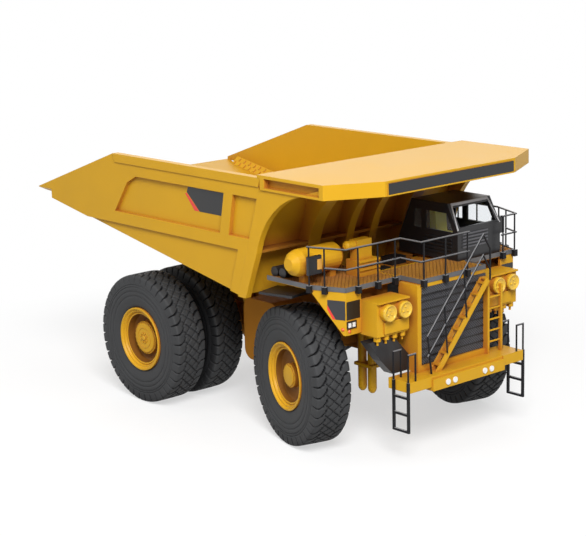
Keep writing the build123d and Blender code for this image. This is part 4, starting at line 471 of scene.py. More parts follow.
def rods(starts, ends, radius, sides=6):
    """Straight closed rods from arrays of start and end points in metres.

    Two directions square to a rod carry its ring of corners. The first is square to the rod and
    to a direction that no rod runs along.
    """
    starts, ends = np.atleast_2d(starts), np.atleast_2d(ends)
    run = (ends - starts) / np.linalg.norm(ends - starts, axis=1, keepdims=True)
    side = np.cross(run, OFF_EVERY_ROD)
    side /= np.linalg.norm(side, axis=1, keepdims=True)
    other = np.cross(run, side)
    angle = np.arange(sides) * 2 * np.pi / sides
    ring = (np.cos(angle)[:, None, None] * side + np.sin(angle)[:, None, None] * other) * radius * MM
    low, high = starts + ring, ends + ring
    faces = prism_faces(sides)
    return stack([(np.vstack([low[:, k], high[:, k]]), faces) for k in range(len(starts))])


def both_sides(shapes):
    """Right-hand shapes with their mirror images, whose faces are turned so they still look out."""
    mirrored = [(points * [1, -1, 1], [face[::-1] for face in faces]) for points, faces in shapes]
    return shapes + mirrored


# %% [markdown]
# A quarry tyre is the most worked surface on the truck. It could be cut with forty pairs of grooves,
# but the whole tread is easier to see as one height map: the tyre's section is carried round the
# axle, and at each point the surface drops inward where a groove passes. Grooves start at the sidewall
# as slots, run inward across the shoulder, hook round, and meet a band of diamonds in the middle.
# Lengths and radii are in millimetres here, and the hook's reach is counted in lugs.

# %% Tyres
REAR_OUTER_Y, REAR_INNER_Y = 61.0, 34.75
PAIR_OFFSET = (REAR_OUTER_Y - REAR_INNER_Y) / 2
FRONT_WIDTH, REAR_WIDTH = 20.5, 19.5
LUGS = 40
STEPS_PER_LUG = 16
RINGS = ((24.0, 0.1), (26.6, 0.0), (29.0, 0.1), (30.2, 0.2))
RING_SHAPE = ((-0.3, 0.0), (0.0, -0.28), (0.3, 0.0))
CROWN_RADIUS, CROWN_DROP = 35.55, 0.12
CROWN_INSET, CROWN_POINTS = 2.4, 14
CROWN_FOOT = 34
HOOK_START, HOOK_RUN, HOOK_MOST, HOOK_REACH = 1.6, 5.0, 1.25, 0.85
GROOVE_HALF, GROOVE_EDGE = 0.16, 0.26
GROOVE_FOOT, GROOVE_FOOT_RUN = 30.9, 0.6
GROOVE_END, SOFT_END = 4.2, 0.5
SHALLOW, DEEP = 0.8, 1.7
DEEPENING, DEEPENING_FROM = 0.3, 32.0
DIAMOND_BAND, DIAMOND_SLANT = 4.4, 0.17
DIAMOND_HALF, DIAMOND_EDGE = 0.1, 0.22


def tyre_section(half):
    """Half a tyre's section from its bead to its middle, as (out, radius) points in millimetres.

    Four fine rings are pressed into the wall, and the crown falls by the square of the distance
    from its middle.
    """
    points = [(half - 3.2, 17.52), (half - 1.5, 17.6), (half - 0.9, 18.8), (half - 0.45, 20.6),
              (half - 0.2, 22.4)]
    for radius, inset in RINGS:
        points += [(half - inset + depth, radius + shift) for shift, depth in RING_SHAPE]
    points += [(half - 0.25, 31.0), (half - 0.3, 31.7), (half - 0.4, 32.6), (half - 0.5, 33.5),
               (half - 0.62, 34.2), (half - 0.8, 34.8), (half - 1.15, 35.2), (half - 1.7, 35.38)]
    inner = np.linspace(half - CROWN_INSET, 0, CROWN_POINTS)
    points += [(out, CROWN_RADIUS - CROWN_DROP * (out / half) ** 2) for out in inner]
    return np.array(points)


def soft_step(distance, half_width, edge):
    """1 inside half_width of a line, 0 past the edge beside it, with a smooth fall between."""
    share = np.clip((half_width + edge - distance) / edge, 0, 1)
    return share * share * (3 - 2 * share)


def groove_depth(turn_share, out, radius, half):
    """Depth of the grooves in millimetres at a place round the tyre, counted in lugs.

    The hooked groove's middle line is s = lug + hook(x), where x is the distance in from the
    shoulder and hook grows with x squared. On the other half it is mirrored in both directions,
    as on the real tread. Diamonds are two families of thin slanted lines, kept near the middle.
    """
    pitch = 2 * np.pi * TYRE_RADIUS / MM / LUGS
    side = np.where(out < 0, -1.0, 1.0)
    inward = half - np.abs(out)
    run = np.clip((inward - HOOK_START) / HOOK_RUN, 0, HOOK_MOST)
    place = turn_share + 0.5 - side * HOOK_REACH * run**2
    slope = 2 * HOOK_REACH * run / HOOK_RUN * pitch
    distance = np.abs(place - np.round(place)) * pitch / np.sqrt(1 + slope**2)
    above_foot = np.clip((radius - GROOVE_FOOT) / GROOVE_FOOT_RUN, 0, 1)
    reach = soft_step(inward, half - GROOVE_END, SOFT_END) * above_foot
    deepest = np.clip(SHALLOW + DEEPENING * (radius - DEEPENING_FROM), SHALLOW, DEEP)
    depth = deepest * soft_step(distance, GROOVE_HALF, GROOVE_EDGE) * reach
    middle_band = soft_step(np.abs(out), DIAMOND_BAND, SOFT_END) * (radius > CROWN_FOOT)
    for slant in (DIAMOND_SLANT, -DIAMOND_SLANT):
        line = turn_share + slant * out
        gap = np.abs(line - np.round(line)) * pitch / np.sqrt(1 + (slant * pitch) ** 2)
        diamonds = SHALLOW * soft_step(gap, DIAMOND_HALF, DIAMOND_EDGE) * middle_band
        depth = np.maximum(depth, diamonds)
    return depth


def tyre_surface(width, origin, forward, upward):
    """A whole tyre: its section carried round the axle and sunk along its normal at each groove."""
    half = width / 2
    section = tyre_section(half)
    section = np.vstack([section, section[-2::-1] * [-1, 1]])
    ahead_of, behind = np.roll(section, -1, axis=0), np.roll(section, 1, axis=0)
    run = ahead_of - behind
    run[0], run[-1] = section[1] - section[0], section[-1] - section[-2]
    normal = np.column_stack([run[:, 1], -run[:, 0]])
    normal /= np.linalg.norm(normal, axis=1, keepdims=True)
    share = np.arange(LUGS * STEPS_PER_LUG)[:, None] / STEPS_PER_LUG
    depth = groove_depth(share, section[:, 0], section[:, 1], half)
    out = section[:, 0] - normal[:, 0] * depth
    radius = section[:, 1] - normal[:, 1] * depth
    angle = share * 2 * np.pi / LUGS
    points = np.stack([radius * np.cos(angle), radius * np.sin(angle), out], axis=-1)
    placed = laid(points.reshape(-1, 3), origin, forward, upward)
    return grid(placed.reshape(points.shape)[::-1], wrap_u=True, wrap_v=True)


def wheel_axes(name, steer):
    """A wheel's forward, upward and outboard directions on one side of the truck."""
    out = np.array([-np.sin(steer), np.cos(steer), 0.0]) * SIDES[name]
    forward = np.array([np.cos(steer), np.sin(steer), 0.0])
    return forward, np.cross(out, forward), out


body_of = {member: body for body, members in frame["record"]["behaviour"]["bodies"].items()
           for member in members}
for name in SIDES:
    node = f"front_tyre_{name}"
    forward, upward, out = wheel_axes(name, STEER)
    piece(f"front_tyre_tread_{name}", [tyre_surface(FRONT_WIDTH, middle(node), forward, upward)],
          body_of[node], "tyre_rubber", stands_for=[node], sharp=50)
    node = f"rear_tyres_{name}"
    forward, upward, out = wheel_axes(name, 0.0)
    pair = [tyre_surface(REAR_WIDTH, np.array(middle(node)) + shift * PAIR_OFFSET * MM * out,
                         forward, upward) for shift in (1, -1)]
    piece(f"rear_tyre_treads_{name}", pair, body_of[node], "tyre_rubber", stands_for=[node], sharp=50)

# %% [markdown]
# Rims are the brightest round things in the picture, and any flats on them would show. They are turned
# from one profile each, from the middle of the hub out over the stepped lip and back along the barrel
# to the bore that the axle fills. Nuts are small six-sided plates in rings. The dish round the hub is
# a thin ring of its own in a deep brown, which is painted shade for the dark that falls into the dish.

# %% Rims
RIM_RADIUS = 17.5
LIP_STEP = 1.3
STEP_DEPTH = 1.1
WELL_RADIUS = RIM_RADIUS - 3 * LIP_STEP
HUB_RISE, BOSS_RISE = 3.4, 0.8
WEB, SLEEVE_WALL, BORE_GAP = 2.5, 3, 0.05
CAP_THICKNESS = 1.6
FRONT_LIP = FRONT_WIDTH / 2 - 0.5
REAR_LIP = PAIR_OFFSET + REAR_WIDTH / 2 - 0.2
RIM_SEGMENTS = 96
PLUG_SEGMENTS, COLLAR_SEGMENTS = 32, 64


def rim_profile(lip, dish, hub, spindle, sleeve_end):
    """A rim's closed section as (out, radius) points, from the hub's face round to its bore.

    The lip falls to the dish in two steps, each LIP_STEP further in and STEP_DEPTH deeper.
    """
    cap = dish + HUB_RISE
    boss = cap + BOSS_RISE
    step = lip - STEP_DEPTH
    foot = lip - 2 * STEP_DEPTH
    well, near, far = (WELL_RADIUS + steps * LIP_STEP for steps in range(3))
    face = [(boss, 0), (boss, hub - 2.2), (cap + 0.65, hub - 1.2), (cap + 0.35, hub - 0.85),
            (cap, hub - 0.8), (cap, hub - 0.25), (cap - 0.25, hub), (dish + 0.4, hub),
            (dish, hub + 0.4), (dish, well - 1.6), (dish + 0.25, well - 0.7), (dish + 0.9, well - 0.15)]
    lips = [(foot - 0.2, well), (foot, well + 0.2), (foot, well + 0.8), (foot - 0.3, near - 0.25),
            (step - 0.3, near + 0.1), (step, near + 0.35), (step, far - 0.25), (step + 0.25, far),
            (lip - 0.3, far + 0.15), (lip, far + 0.45), (lip, RIM_RADIUS - 0.25),
            (lip - 0.25, RIM_RADIUS)]
    barrel, sleeve, bore = RIM_RADIUS - LIP_STEP, spindle + SLEEVE_WALL, spindle + BORE_GAP
    back = [(-lip, RIM_RADIUS), (-lip, barrel), (dish - WEB, barrel), (dish - WEB, sleeve),
            (sleeve_end, sleeve), (sleeve_end, bore), (cap - CAP_THICKNESS, bore),
            (cap - CAP_THICKNESS, 0)]
    return face + lips + back


def dish_profile(lip, dish, hub):
    """The closed section of the thin ring, brown with painted shade, between the hub and the lip's first
    step.
    """
    foot = lip - 2 * STEP_DEPTH - 0.3
    return [(dish + 0.12, hub + 0.1), (dish + 0.12, WELL_RADIUS - 1.5), (dish + 0.95, WELL_RADIUS - 0.3),
            (foot, WELL_RADIUS - 0.12), (foot, WELL_RADIUS + 0.1), (dish + 0.5, WELL_RADIUS + 0.1),
            (dish - 0.2, WELL_RADIUS - 1.2), (dish - 0.2, hub + 0.1), (dish + 0.12, hub + 0.1)]


def nut_ring(count, place, *, ring, size, height, lift):
    """Six-sided nuts spread evenly round a ring, each a thin plate lifted off the hub."""
    corner = np.arange(6) * np.pi / 3
    hexagon = np.column_stack([np.cos(corner), np.sin(corner)]) * size
    angles = (np.arange(count) + 0.5) * 2 * np.pi / count
    return [plate(hexagon + ring * np.array([np.cos(a), np.sin(a)]), height, *place, lift=lift)
            for a in angles]


def rear_cap(cap, place):
    """What stands on a rear hub: eight nuts round a plug, inside a raised ring."""
    plug = [(cap + 1.5, 0), (cap + 1.5, 1.1), (cap + 1.3, 1.35), (cap + 0.7, 1.4)]
    collar = [(cap + 0.7, 5.2), (cap + 1.05, 5.3), (cap + 1.05, 5.7), (cap + 0.7, 5.8)]
    nuts = nut_ring(8, place, ring=2.7, size=0.5, height=0.5, lift=cap + BOSS_RISE)
    return nuts + [turned(plug, PLUG_SEGMENTS, *place), turned(collar, COLLAR_SEGMENTS, *place)]


def dress_rim(end, name, tyre, steer, *, lip, depth, hub, spindle, bore, nuts):
    """A rim's turned face and its dish in a brown of painted shade, placed at the middle of its tyre or
    pair.

    lip is how far the lip stands outboard of that middle, and depth how far the dish lies behind
    the lip. hub and spindle are radii, and bore is where the sleeve round the spindle ends.
    """
    node = f"{end}_rim_{name}"
    forward, upward, _ = wheel_axes(name, steer)
    place = (np.array(middle(tyre)), forward, upward)
    dish = lip - depth
    cap = dish + HUB_RISE
    shapes = [turned(rim_profile(lip, dish, hub, spindle, bore), RIM_SEGMENTS, *place)]
    shapes += nut_ring(nuts, place, ring=hub - 0.42, size=0.28, height=0.3, lift=cap)
    if end == "rear":
        shapes += rear_cap(cap, place)
    piece(f"{end}_rim_face_{name}", shapes, body_of[node], "yellow_paint", stands_for=[node], sharp=30)
    piece(f"{end}_rim_dish_{name}", [turned(dish_profile(lip, dish, hub), RIM_SEGMENTS, *place)],
          body_of[node], "yellow_paint", inks["dish"])


for name in SIDES:
    dress_rim("front", name, f"front_tyre_{name}", STEER, lip=FRONT_LIP, depth=6.5, hub=6.2,
              spindle=4.2, bore=-3.5, nuts=12)
    dress_rim("rear", name, f"rear_tyres_{name}", 0.0, lip=REAR_LIP, depth=7.7, hub=9.2,
              spindle=6.0, bore=-REAR_LIP, nuts=24)

# %% [markdown]
# Headlamps on the model are cast with the body, so they are yellow all over, with the bezel and the
# reflector pressed in as relief. Each is a turned disc with three small domes set round its middle.

# %% Headlamps
LAMP_Y = (33.8, 44.2)
LAMP_Z = 74.8
LAMP_FRONT = 50.8
LAMP_SECTION = [(0.25, 0), (0.15, 0.9), (0.1, 2.0), (0.3, 2.9), (0.55, 3.2), (0.8, 3.4), (0.9, 3.7),
                (0.8, 4.0), (0.5, 4.15), (-0.3, 4.2), (-0.3, 0)]
DOME_SECTION = [(0.75, 0), (0.7, 0.3), (0.5, 0.55), (0.0, 0.65)]
DOME_RING = 1.45
DOME_TURNS = (0.25, 0.583, 0.917)
LAMP_SEGMENTS, DOME_SEGMENTS = 48, 16
lamp_yellow = finish("lamp_yellow", (0.68, 0.42, 0.03), 0.3, drift=0.05, coat=0.3)

for name, side in SIDES.items():
    shapes = []
    for y in LAMP_Y:
        middle_of_lamp = spot(LAMP_FRONT, side * y, LAMP_Z)
        shapes.append(turned(LAMP_SECTION, LAMP_SEGMENTS, middle_of_lamp, *FRONTWARD))
        for turn_share in DOME_TURNS:
            a = 2 * np.pi * turn_share
            dome = middle_of_lamp + np.array([0, np.cos(a), np.sin(a)]) * DOME_RING * MM
            shapes.append(turned(DOME_SECTION, DOME_SEGMENTS, dome, *FRONTWARD))
    piece(f"headlamp_faces_{name}", shapes, "chassis", "yellow_paint", lamp_yellow)

# %% [markdown]
# The truck has plain dark plates: a dark one and a black one on each front corner of the deck, one on
# each side of the bed, and a long one across the canopy's front. Printed plates on such a model are
# ink a few hundredths of a millimetre thick, so each is a very thin solid laid on its panel, with the
# red stripe beside it as another. The deck's corners are cut off at a slant, and the plates there are
# laid along that slant.

# %% Plates and stripes
DECK_Z = 87.0
DECK_REAR, DECK_BEND, DECK_FRONT = -12, 19, 37
DECK_SIDE_Y, DECK_CORNER_Y, DECK_INNER_Y = -67, -60, -23.1
CORNER_RUN = (DECK_FRONT - DECK_BEND, DECK_CORNER_Y - DECK_SIDE_Y)
CORNER = spot(DECK_FRONT, DECK_CORNER_Y, 0)
CORNERWARD = ((*CORNER_RUN, 0), (0, 0, 1))
SKIRT = spot(DECK_FRONT, 0, 0)
BED_SIDE_Y = -70.0
BED_SIDE = spot(0, BED_SIDE_Y, 0)
CANOPY_FASCIA = spot(50.9, 0, 0)
INK = 0.12
BOX_DEPTH, SQUARE_DEPTH = 0.5, 0.2
CORNER_FOOT, CORNER_HEAD = 71.7, 81.1
BED_PLATE_FOOT, BED_PLATE_HEAD = 113.9, 125.8
corner_dark = plate([(-9.8, CORNER_HEAD), (-9.9, 78.6), (-5.5, CORNER_FOOT), (-0.4, CORNER_FOOT),
                     (-0.4, CORNER_HEAD)], INK, CORNER, *CORNERWARD)
corner_red = plate([(-9.9, 78.4), (-9.9, 76.4), (-7.2, CORNER_FOOT), (-5.7, CORNER_FOOT)], INK,
                   CORNER, *CORNERWARD)
front_black = plate(oblong(-59.7, -50.9, CORNER_FOOT, 80.6), INK, SKIRT, *FRONTWARD)
box_black = plate(oblong(-59.7, -53.6, 67.2, 71.0), BOX_DEPTH, SKIRT, *FRONTWARD)
box_white = [plate(oblong(y, y + 1.8, 68.0, 70.2), SQUARE_DEPTH, SKIRT, *FRONTWARD, lift=BOX_DEPTH)
             for y in (-59.1, -56.4)]
bed_dark = plate([(-69.6, BED_PLATE_HEAD), (-70.7, 122.9), (-60.6, BED_PLATE_FOOT),
                  (-41.6, BED_PLATE_FOOT), (-39.2, BED_PLATE_HEAD)], INK, BED_SIDE, *RIGHTWARD)
bed_red = plate([(-72.2, 122.2), (-71.0, 122.4), (-61.1, BED_PLATE_FOOT), (-64.8, BED_PLATE_FOOT)],
                INK, BED_SIDE, *RIGHTWARD)
fascia = plate(oblong(-44.2, 44.2, 132.2, 137.6), INK, CANOPY_FASCIA, *FRONTWARD)

piece("corner_plates", both_sides([corner_dark]), "chassis", "dark_metal", inks["dark"])
piece("corner_stripes", both_sides([corner_red]), "chassis", "dark_metal", inks["red"])
piece("front_plates", both_sides([front_black, box_black]), "chassis", "dark_metal", inks["black"])
piece("marker_squares", both_sides(box_white), "chassis", "lamp_white", inks["white"])
piece("bed_plates", both_sides([bed_dark]), "bed", "dark_metal", inks["black"])
piece("bed_stripes", both_sides([bed_red]), "bed", "dark_metal", inks["red"])
piece("canopy_plate", [fascia], "bed", "dark_metal", inks["black"])

# %% [markdown]
# Two small orange marker lamps sit at the foot of each deck corner. They are domes, turned in the
# same way as those of the headlamps.

# %% Marker lamps
MARKER_SECTION = [(0.7, 0), (0.62, 0.4), (0.35, 0.75), (0.0, 0.95), (0.0, 0.0)]
MARKER_SEGMENTS = 20
ON_SLANT = (-1.9, 67.0, 0.0)
ON_FRONT = (-57.9, 65.9, 0.0)
markers = [turned(MARKER_SECTION, MARKER_SEGMENTS, laid(np.array(place), origin, *axes), *axes)
           for place, origin, axes in ((ON_SLANT, CORNER, CORNERWARD), (ON_FRONT, SKIRT, FRONTWARD))]
piece("marker_lamps", both_sides(markers), "chassis", "lamp_white", inks["orange"])

# %% [markdown]
# Deck plates on a mine truck are covered with raised lozenges so that boots grip them. They lie at
# forty-five degrees, alternate ones turned the other way. One flat lozenge is laid on every point of a
# lattice, and the lattice is trimmed to each deck by testing its points as whole arrays. On the left
# the cab stands on the deck, so only the strips beside and ahead of it are covered.

# %% Deck tread
LOZENGE = [(-0.75, 0), (-0.3, -0.17), (0.3, -0.17), (0.75, 0), (0.3, 0.17), (-0.3, 0.17)]
LOZENGE_HEIGHT = 0.22
TREAD_PITCH = 1.25
TREAD_REAR, TREAD_FRONT = -10.5, 35.8
TREAD_INNER, TREAD_OUTER, TREAD_SIDE = 24.2, 66.0, 65.8
SLANT_MARGIN = 20.0
CAB_FOOT_SIDE, CAB_FOOT_FRONT = 53, 36.0
CENTRE_TREAD = (22.0, 50.0, -22.5, 22.5)


def tread(low_x, high_x, low_y, high_y, inside=None):
    """Raised lozenges on a lattice within a rectangle, kept where inside(x, y) holds."""
    x, y = np.meshgrid(np.arange(low_x, high_x, TREAD_PITCH), np.arange(low_y, high_y, TREAD_PITCH),
                       indexing="ij")
    angle = np.where(np.indices(x.shape).sum(0) % 2 == 1, 1, -1) * np.pi / 4
    keep = inside(x, y) if inside else np.ones(x.shape, bool)
    shapes = []
    for ahead, left, lean in zip(x[keep], y[keep], angle[keep]):
        across, up = (np.cos(lean), np.sin(lean), 0), (-np.sin(lean), np.cos(lean), 0)
        shapes.append(plate(LOZENGE, LOZENGE_HEIGHT, spot(ahead, left, DECK_Z), across, up))
    return stack(shapes)


def on_deck(x, y):
    """Whether a point lies on a side deck, about a millimetre or more inside its edges.

    How far a point lies past the slanted corner, times the slant's length, is the cross product
    of the slant's run with the way from the deck's bend to the point.
    """
    run_x, run_y = CORNER_RUN
    slant = (x - DECK_BEND) * run_y + (np.abs(y) + DECK_SIDE_Y) * run_x
    return (slant < -SLANT_MARGIN) & (np.abs(y) < TREAD_SIDE)


def clear_of_cab(x, y):
    """Whether a point lies on the left deck and not under the cab."""
    return on_deck(x, y) & ~((y < CAB_FOOT_SIDE) & (x < CAB_FOOT_FRONT))


treads = [tread(TREAD_REAR, TREAD_FRONT, TREAD_INNER, TREAD_OUTER, clear_of_cab),
          tread(TREAD_REAR, TREAD_FRONT, -TREAD_OUTER, -TREAD_INNER, on_deck),
          tread(*CENTRE_TREAD)]
piece("deck_treads", treads, "chassis", "yellow_paint", inks["tread"], sharp=20)

# %% [markdown]
# The radiator's grille is nine bands of fine diamond mesh with a thin ledge between each two. The mesh
# could be woven, but from outside it is only two families of slanted wires, so each band gets straight
# wires leaning one way and the other, cut where they would leave the frame. The real mesh runs higher
# than the solid's, so a tenth and shallower band is laid on a thin plate across the lower part of the
# deck's front board.

# %% Grille mesh
MESH_HALF = 22.9
MESH_PITCH = 1.5
MESH_LEAN = 3.6
WIRE_RADIUS = 0.16
SHORTEST_WIRE = 0.1
BAND_INSET = 0.35
GRILLE_FACE, BOARD_FACE = 49.4, 51.0
GRILLE_FOOT, GRILLE_HEAD, GRILLE_BANDS = 44.0, 80.0, 9
BOARD_FOOT, BOARD_HEAD, BOARD_PLATE_HEAD = 80.2, 83.3, 83.4
MESH_LIFT, BOARD_MESH_LIFT, BOARD_PLATE_DEPTH = 0.1, 0.25, 0.15
LEDGE_HALF, LEDGE_DEPTH = 0.28, 0.55
BAND_EDGES = np.linspace(GRILLE_FOOT, GRILLE_HEAD, GRILLE_BANDS + 1)


def band_of_mesh(low, high, face):
    """Slanted wires of one band: y = start + t lean for t from 0 to 1, cut at the frame's sides."""
    start = np.arange(-MESH_HALF - MESH_LEAN, MESH_HALF, MESH_PITCH)
    first = np.clip((-MESH_HALF - start) / MESH_LEAN, 0, 1)
    last = np.clip((MESH_HALF - start) / MESH_LEAN, 0, 1)
    keep = last - first > SHORTEST_WIRE
    ends = []
    for share in (first[keep], last[keep]):
        y, z = start[keep] + share * MESH_LEAN, low + share * (high - low)
        ends.append(np.column_stack([np.full_like(y, face), y, z]))
    both = [np.vstack([end, end * [1, -1, 1]]) for end in ends]
    start_points, end_points = (np.array([spot(*point) for point in points]) for points in both)
    return rods(start_points, end_points, WIRE_RADIUS, sides=4)


bands = [band_of_mesh(low + BAND_INSET, high - BAND_INSET, GRILLE_FACE + MESH_LIFT)
         for low, high in zip(BAND_EDGES[:-1], BAND_EDGES[1:])]
bands.append(band_of_mesh(BOARD_FOOT, BOARD_HEAD, BOARD_FACE + BOARD_MESH_LIFT))
piece("grille_mesh", bands, "chassis", "black_plastic", inks["mesh"])
ledges = [plate(oblong(-MESH_HALF, MESH_HALF, z - LEDGE_HALF, z + LEDGE_HALF), LEDGE_DEPTH,
                spot(GRILLE_FACE, 0, 0), *FRONTWARD) for z in BAND_EDGES[1:-1]]
ledges.append(plate(oblong(-MESH_HALF, MESH_HALF, GRILLE_HEAD, BOARD_PLATE_HEAD), BOARD_PLATE_DEPTH,
                    spot(BOARD_FACE, 0, 0), *FRONTWARD))
piece("grille_ledges", ledges, "chassis", "black_plastic")

# %% [markdown]
# A strip runs round the edge of each deck, a toe board that keeps tools from sliding off; its grey is a
# painted highlight, where the edge catches the light. It follows the deck's outline, so each straight
# edge gives one thin plate standing just proud of it.

# %% Deck lips
LIP_LOW, LIP_HIGH = 85.4, 87.7
LIP_THICKNESS = 0.3
CENTRE_FRONT, CENTRE_HALF = 51, 23


def lips(outline):
    """A thin upright plate on each side of an open outline of (ahead, y) corners."""
    shapes = []
    for start, end in zip(outline[:-1], outline[1:]):
        run = np.subtract(end, start)
        edge = oblong(0, np.hypot(*run), LIP_LOW, LIP_HIGH)
        shapes.append(plate(edge, LIP_THICKNESS, spot(*start, 0), (*run, 0), (0, 0, 1)))
    return shapes


side_lips = lips([(DECK_REAR, DECK_SIDE_Y), (DECK_BEND, DECK_SIDE_Y), (DECK_FRONT, DECK_CORNER_Y),
                  (DECK_FRONT, DECK_INNER_Y)])
centre_lips = lips([(DECK_FRONT, -CENTRE_HALF), (CENTRE_FRONT, -CENTRE_HALF),
                    (CENTRE_FRONT, CENTRE_HALF), (DECK_FRONT, CENTRE_HALF)])
piece("deck_lips", both_sides(side_lips) + centre_lips, "chassis", "dark_metal", inks["grey"])

# %% [markdown]
# The space between the decks is closed by one brown plate with a few low boxes on it, brown and black,
# and by a brown panel behind each pair of headlamps. Their brown is painted shade, for the shade they
# lie in. Without them daylight would show through from the front.

# %% Covers between the decks
COVER_FOOT, COVER_TOP = 82.6, 83.6
COVER_SIDES = (DECK_REAR, 22, -23, 36)
LAMP_PANEL = (30, 30.6, -58, -25.8, 74, 84.6)
BOX_FOOT = 83.5
BROWN_BOXES = [(-9, -4, -12, 2, 3.2), (-9, 2, 14, 21, 2.6), (9, 18, 10, 20, 2.4)]
BLACK_BOXES = [(-2, 6, 2, 12, 4.0), (8, 13, -18, -6, 2.0)]


def cover_boxes(rows):
    """Low boxes on the cover, each given by its (low x, high x, low y, high y, height)."""
    return [upright_box(*sides, BOX_FOOT, BOX_FOOT + height) for *sides, height in rows]


cover = [upright_box(*COVER_SIDES, COVER_FOOT, COVER_TOP)]
piece("engine_cover", cover + cover_boxes(BROWN_BOXES), "chassis", "yellow_paint", inks["frame"])
piece("engine_fittings", cover_boxes(BLACK_BOXES), "chassis", "black_plastic")
piece("lamp_backs", both_sides([upright_box(*LAMP_PANEL)]), "chassis", "yellow_paint",
      inks["frame"])

# %% [markdown]
# Wear bars line the corner between the bed's floor and its walls, where rock would grind the steel
# away. They are two rows of short bars on a slanted strip that runs almost the whole length of the
# floor.

# %% Wear bars
BED_TAIL, BED_NOSE = -198.5, -36.0
FLOOR_NOSE, FLOOR_NOSE_Z, FLOOR_SLOPE = -29.5, 77.3, 0.17891
SLOPE_LENGTH = np.hypot(1, FLOOR_SLOPE)
WALL_Y, STRIP_FOOT_Y, STRIP_RISE = 68.5, 64.0, 4.4
STRIP_SUNK, STRIP_THICKNESS = -0.5, 0.6
BAR_PITCH, BAR_LENGTH, BAR_WIDTH, BAR_THICKNESS, BAR_LIFT = 4.8, 0.9, 2.1, 0.6, 0.05
FIRST_BAR, END_MARGIN = 1.2, 2
BAR_ROWS = (0.6, 3.4)


def bed_floor(ahead):
    """Height of the bed's floor at a place ahead of the front axle."""
    return FLOOR_NOSE_Z + FLOOR_SLOPE * (FLOOR_NOSE - ahead)


along_floor = np.array([1.0, 0.0, -FLOOR_SLOPE]) / SLOPE_LENGTH
floor_normal = np.array([FLOOR_SLOPE, 0, 1.0]) / SLOPE_LENGTH
up_strip = (WALL_Y - STRIP_FOOT_Y) * np.array([0, 1.0, 0]) + STRIP_RISE * floor_normal
strip_width = np.linalg.norm(up_strip)
strip_length = (BED_NOSE - BED_TAIL) * SLOPE_LENGTH
strip_place = (spot(BED_TAIL, STRIP_FOOT_Y, bed_floor(BED_TAIL)), along_floor, up_strip)
strip = [plate(oblong(0, strip_length, 0, strip_width), STRIP_THICKNESS, *strip_place,
               lift=STRIP_SUNK)]
for row, low in enumerate(BAR_ROWS):
    for a in np.arange(FIRST_BAR + row * BAR_PITCH / 2, strip_length - END_MARGIN, BAR_PITCH):
        bar = oblong(a, a + BAR_LENGTH, low, low + BAR_WIDTH)
        strip.append(plate(bar, BAR_THICKNESS, *strip_place, lift=BAR_LIFT))
piece("wear_bars", both_sides(strip), "bed", "yellow_paint")

# %% [markdown]
# Small details end the yellow parts: rivets under the canopy's flange, brown with painted shade as they
# lie in its shade, and the amber square on each mirror's face.

# %% Rivets and mirror squares
RIVET = [(0.35, 0), (0.3, 0.2), (0.15, 0.38), (-0.1, 0.42), (-0.1, 0)]
RIVET_Z, RIVET_SEGMENTS = 130.0, 10
RIVET_PLACES = (-15.9, -10.2, -4.7, 0.7)
AMBER_DEPTH = 0.3
rivets = [turned(RIVET, RIVET_SEGMENTS, spot(ahead, BED_SIDE_Y, RIVET_Z), *RIGHTWARD)
          for ahead in RIVET_PLACES]
piece("canopy_rivets", both_sides(rivets), "bed", "yellow_paint", inks["frame"])
mirror_face = np.array([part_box("mirror_right")[1].x, 0, 0])
amber = plate(oblong(-64.4, -61.6, 95.2, 100.2), AMBER_DEPTH, mirror_face, *FRONTWARD)
amber_ink = finish("amber_square", (0.72, 0.36, 0.06), 0.4, drift=0.08)
piece("mirror_squares", both_sides([amber]), "chassis", "yellow_paint", amber_ink)

# %% [markdown]
# The cab is black all over, so its shape is read from its edges. A visor runs along the front of the
# roof and lines run down the windscreen's posts, both light grey as a painted highlight where the edges
# catch the light, and slats cross the panel under the screen.

# %% Cab edges and slats
SILL_SHARE = 0.55
ROOF_EDGE, ROOF_RISE = 27.9, 0.0002
ROOF_INNER_Y, ROOF_OUTER_Y = 22.6, 49.4
SILL_EDGE, SILL_Y = 35.0, (20.3, 51.7)
POST_RADIUS, POST_SIDES = 0.42, 8
VISOR_REAR, VISOR_FRONT, VISOR_DROP, VISOR_PROUD = 26.6, 28.6, 1.3, 0.1
SLAT_SIDES = (34.8, 35.7, 23.5, 42.0)
SLAT_FOOT, SLAT_HEAD, SLAT_PITCH, SLAT_HEIGHT = 93.5, 101.5, 1.7, 0.7
roof_z = (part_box("cab_shell")[1].z - ROOF_RISE) / MM
sill_z = DECK_Z + SILL_SHARE * (roof_z - DECK_Z)
roof_ends = [spot(ROOF_EDGE, y, roof_z) for y in (ROOF_INNER_Y, ROOF_OUTER_Y)]
post_feet = [spot(SILL_EDGE, y, sill_z) for y in SILL_Y]
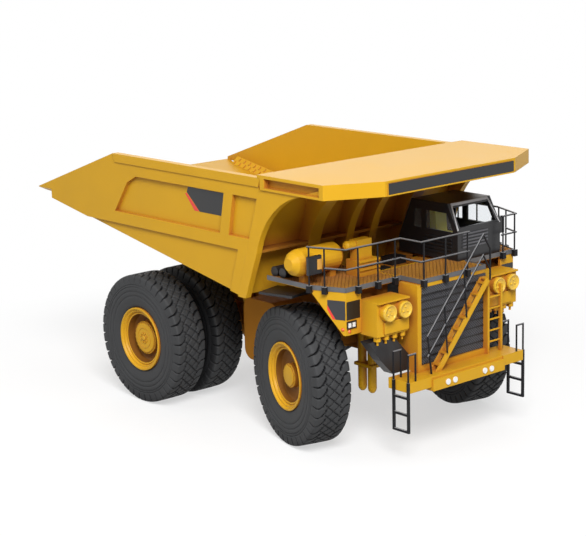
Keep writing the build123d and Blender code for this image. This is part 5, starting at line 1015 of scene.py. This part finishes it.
# A light grey painted highlight along the cab's edges.
edge_highlight_ink = finish("edge_highlight", (0.42, 0.42, 0.43), 0.4, drift=0.2, specular=0.3)
cab_edges = [rods(roof_ends, post_feet, POST_RADIUS, sides=POST_SIDES),
             upright_box(VISOR_REAR, VISOR_FRONT, ROOF_INNER_Y, ROOF_OUTER_Y, roof_z - VISOR_DROP,
                         roof_z + VISOR_PROUD)]
piece("cab_edges", cab_edges, "chassis", "black_plastic", edge_highlight_ink)
slats = [upright_box(*SLAT_SIDES, z, z + SLAT_HEIGHT)
         for z in np.arange(SLAT_FOOT, SLAT_HEAD, SLAT_PITCH)]
piece("cab_slats", slats, "chassis", "black_plastic", inks["mesh"])

# %% [markdown]
# The floor only catches a soft shadow, so it is one flat sheet much larger than the view. The camera,
# a gloss and glass see plain white light there, mixed with the shaded surface only near the truck,
# where the shadow is. Other rays meet a dimmer surface, so that the truck isn't lit from below.

# %% Floor
FLOOR_HALF = 4.0
FLOOR_DIM = 0.45
FLOOR_SHADE = 0.42
SHADE_NEAR, SHADE_FAR = 0.16, 0.30


def floor_material():
    """White paint that dims for indirect rays and fades to plain light away from the truck."""
    material = finish("floor_white", (0.93, 0.93, 0.93), 0.8, drift=0.01, bump=0.0)
    tree = material.node_tree
    surface = tree.nodes["Principled BSDF"]
    direct = seen_directly(tree)
    paint = surface.inputs["Base Color"].links[0].from_socket
    tone = tinted(tree, direct, (FLOOR_DIM, FLOOR_DIM, FLOOR_DIM), paint)
    tree.links.new(tone, surface.inputs["Base Color"])
    distance = tree.nodes.new("ShaderNodeVectorMath")
    distance.operation = "LENGTH"
    tree.links.new(tree.nodes["Texture Coordinate"].outputs["Object"], distance.inputs[0])
    fade = remapped(tree, distance.outputs["Value"], SHADE_NEAR, SHADE_FAR, FLOOR_SHADE, 0.0)
    glow = tree.nodes.new("ShaderNodeEmission")
    near_truck = blended(tree, fade, glow.outputs[0], surface.outputs[0])
    seen = blended(tree, direct, surface.outputs[0], near_truck)
    tree.links.new(seen, tree.nodes["Material Output"].inputs["Surface"])
    return material


corners = np.array([[[x, y, 0] for y in (-FLOOR_HALF, FLOOR_HALF)] for x in (-FLOOR_HALF, FLOOR_HALF)])
floor_points, floor_faces = grid(corners)
floor_mesh = bpy.data.meshes.new("floor")
floor_mesh.from_pydata(floor_points.tolist(), [], floor_faces)
floor_mesh.materials.append(floor_material())
floor = bpy.data.objects.new("floor", floor_mesh)
bpy.context.scene.collection.objects.link(floor)
print("floor normal z", round(floor_mesh.polygons[0].normal.z))
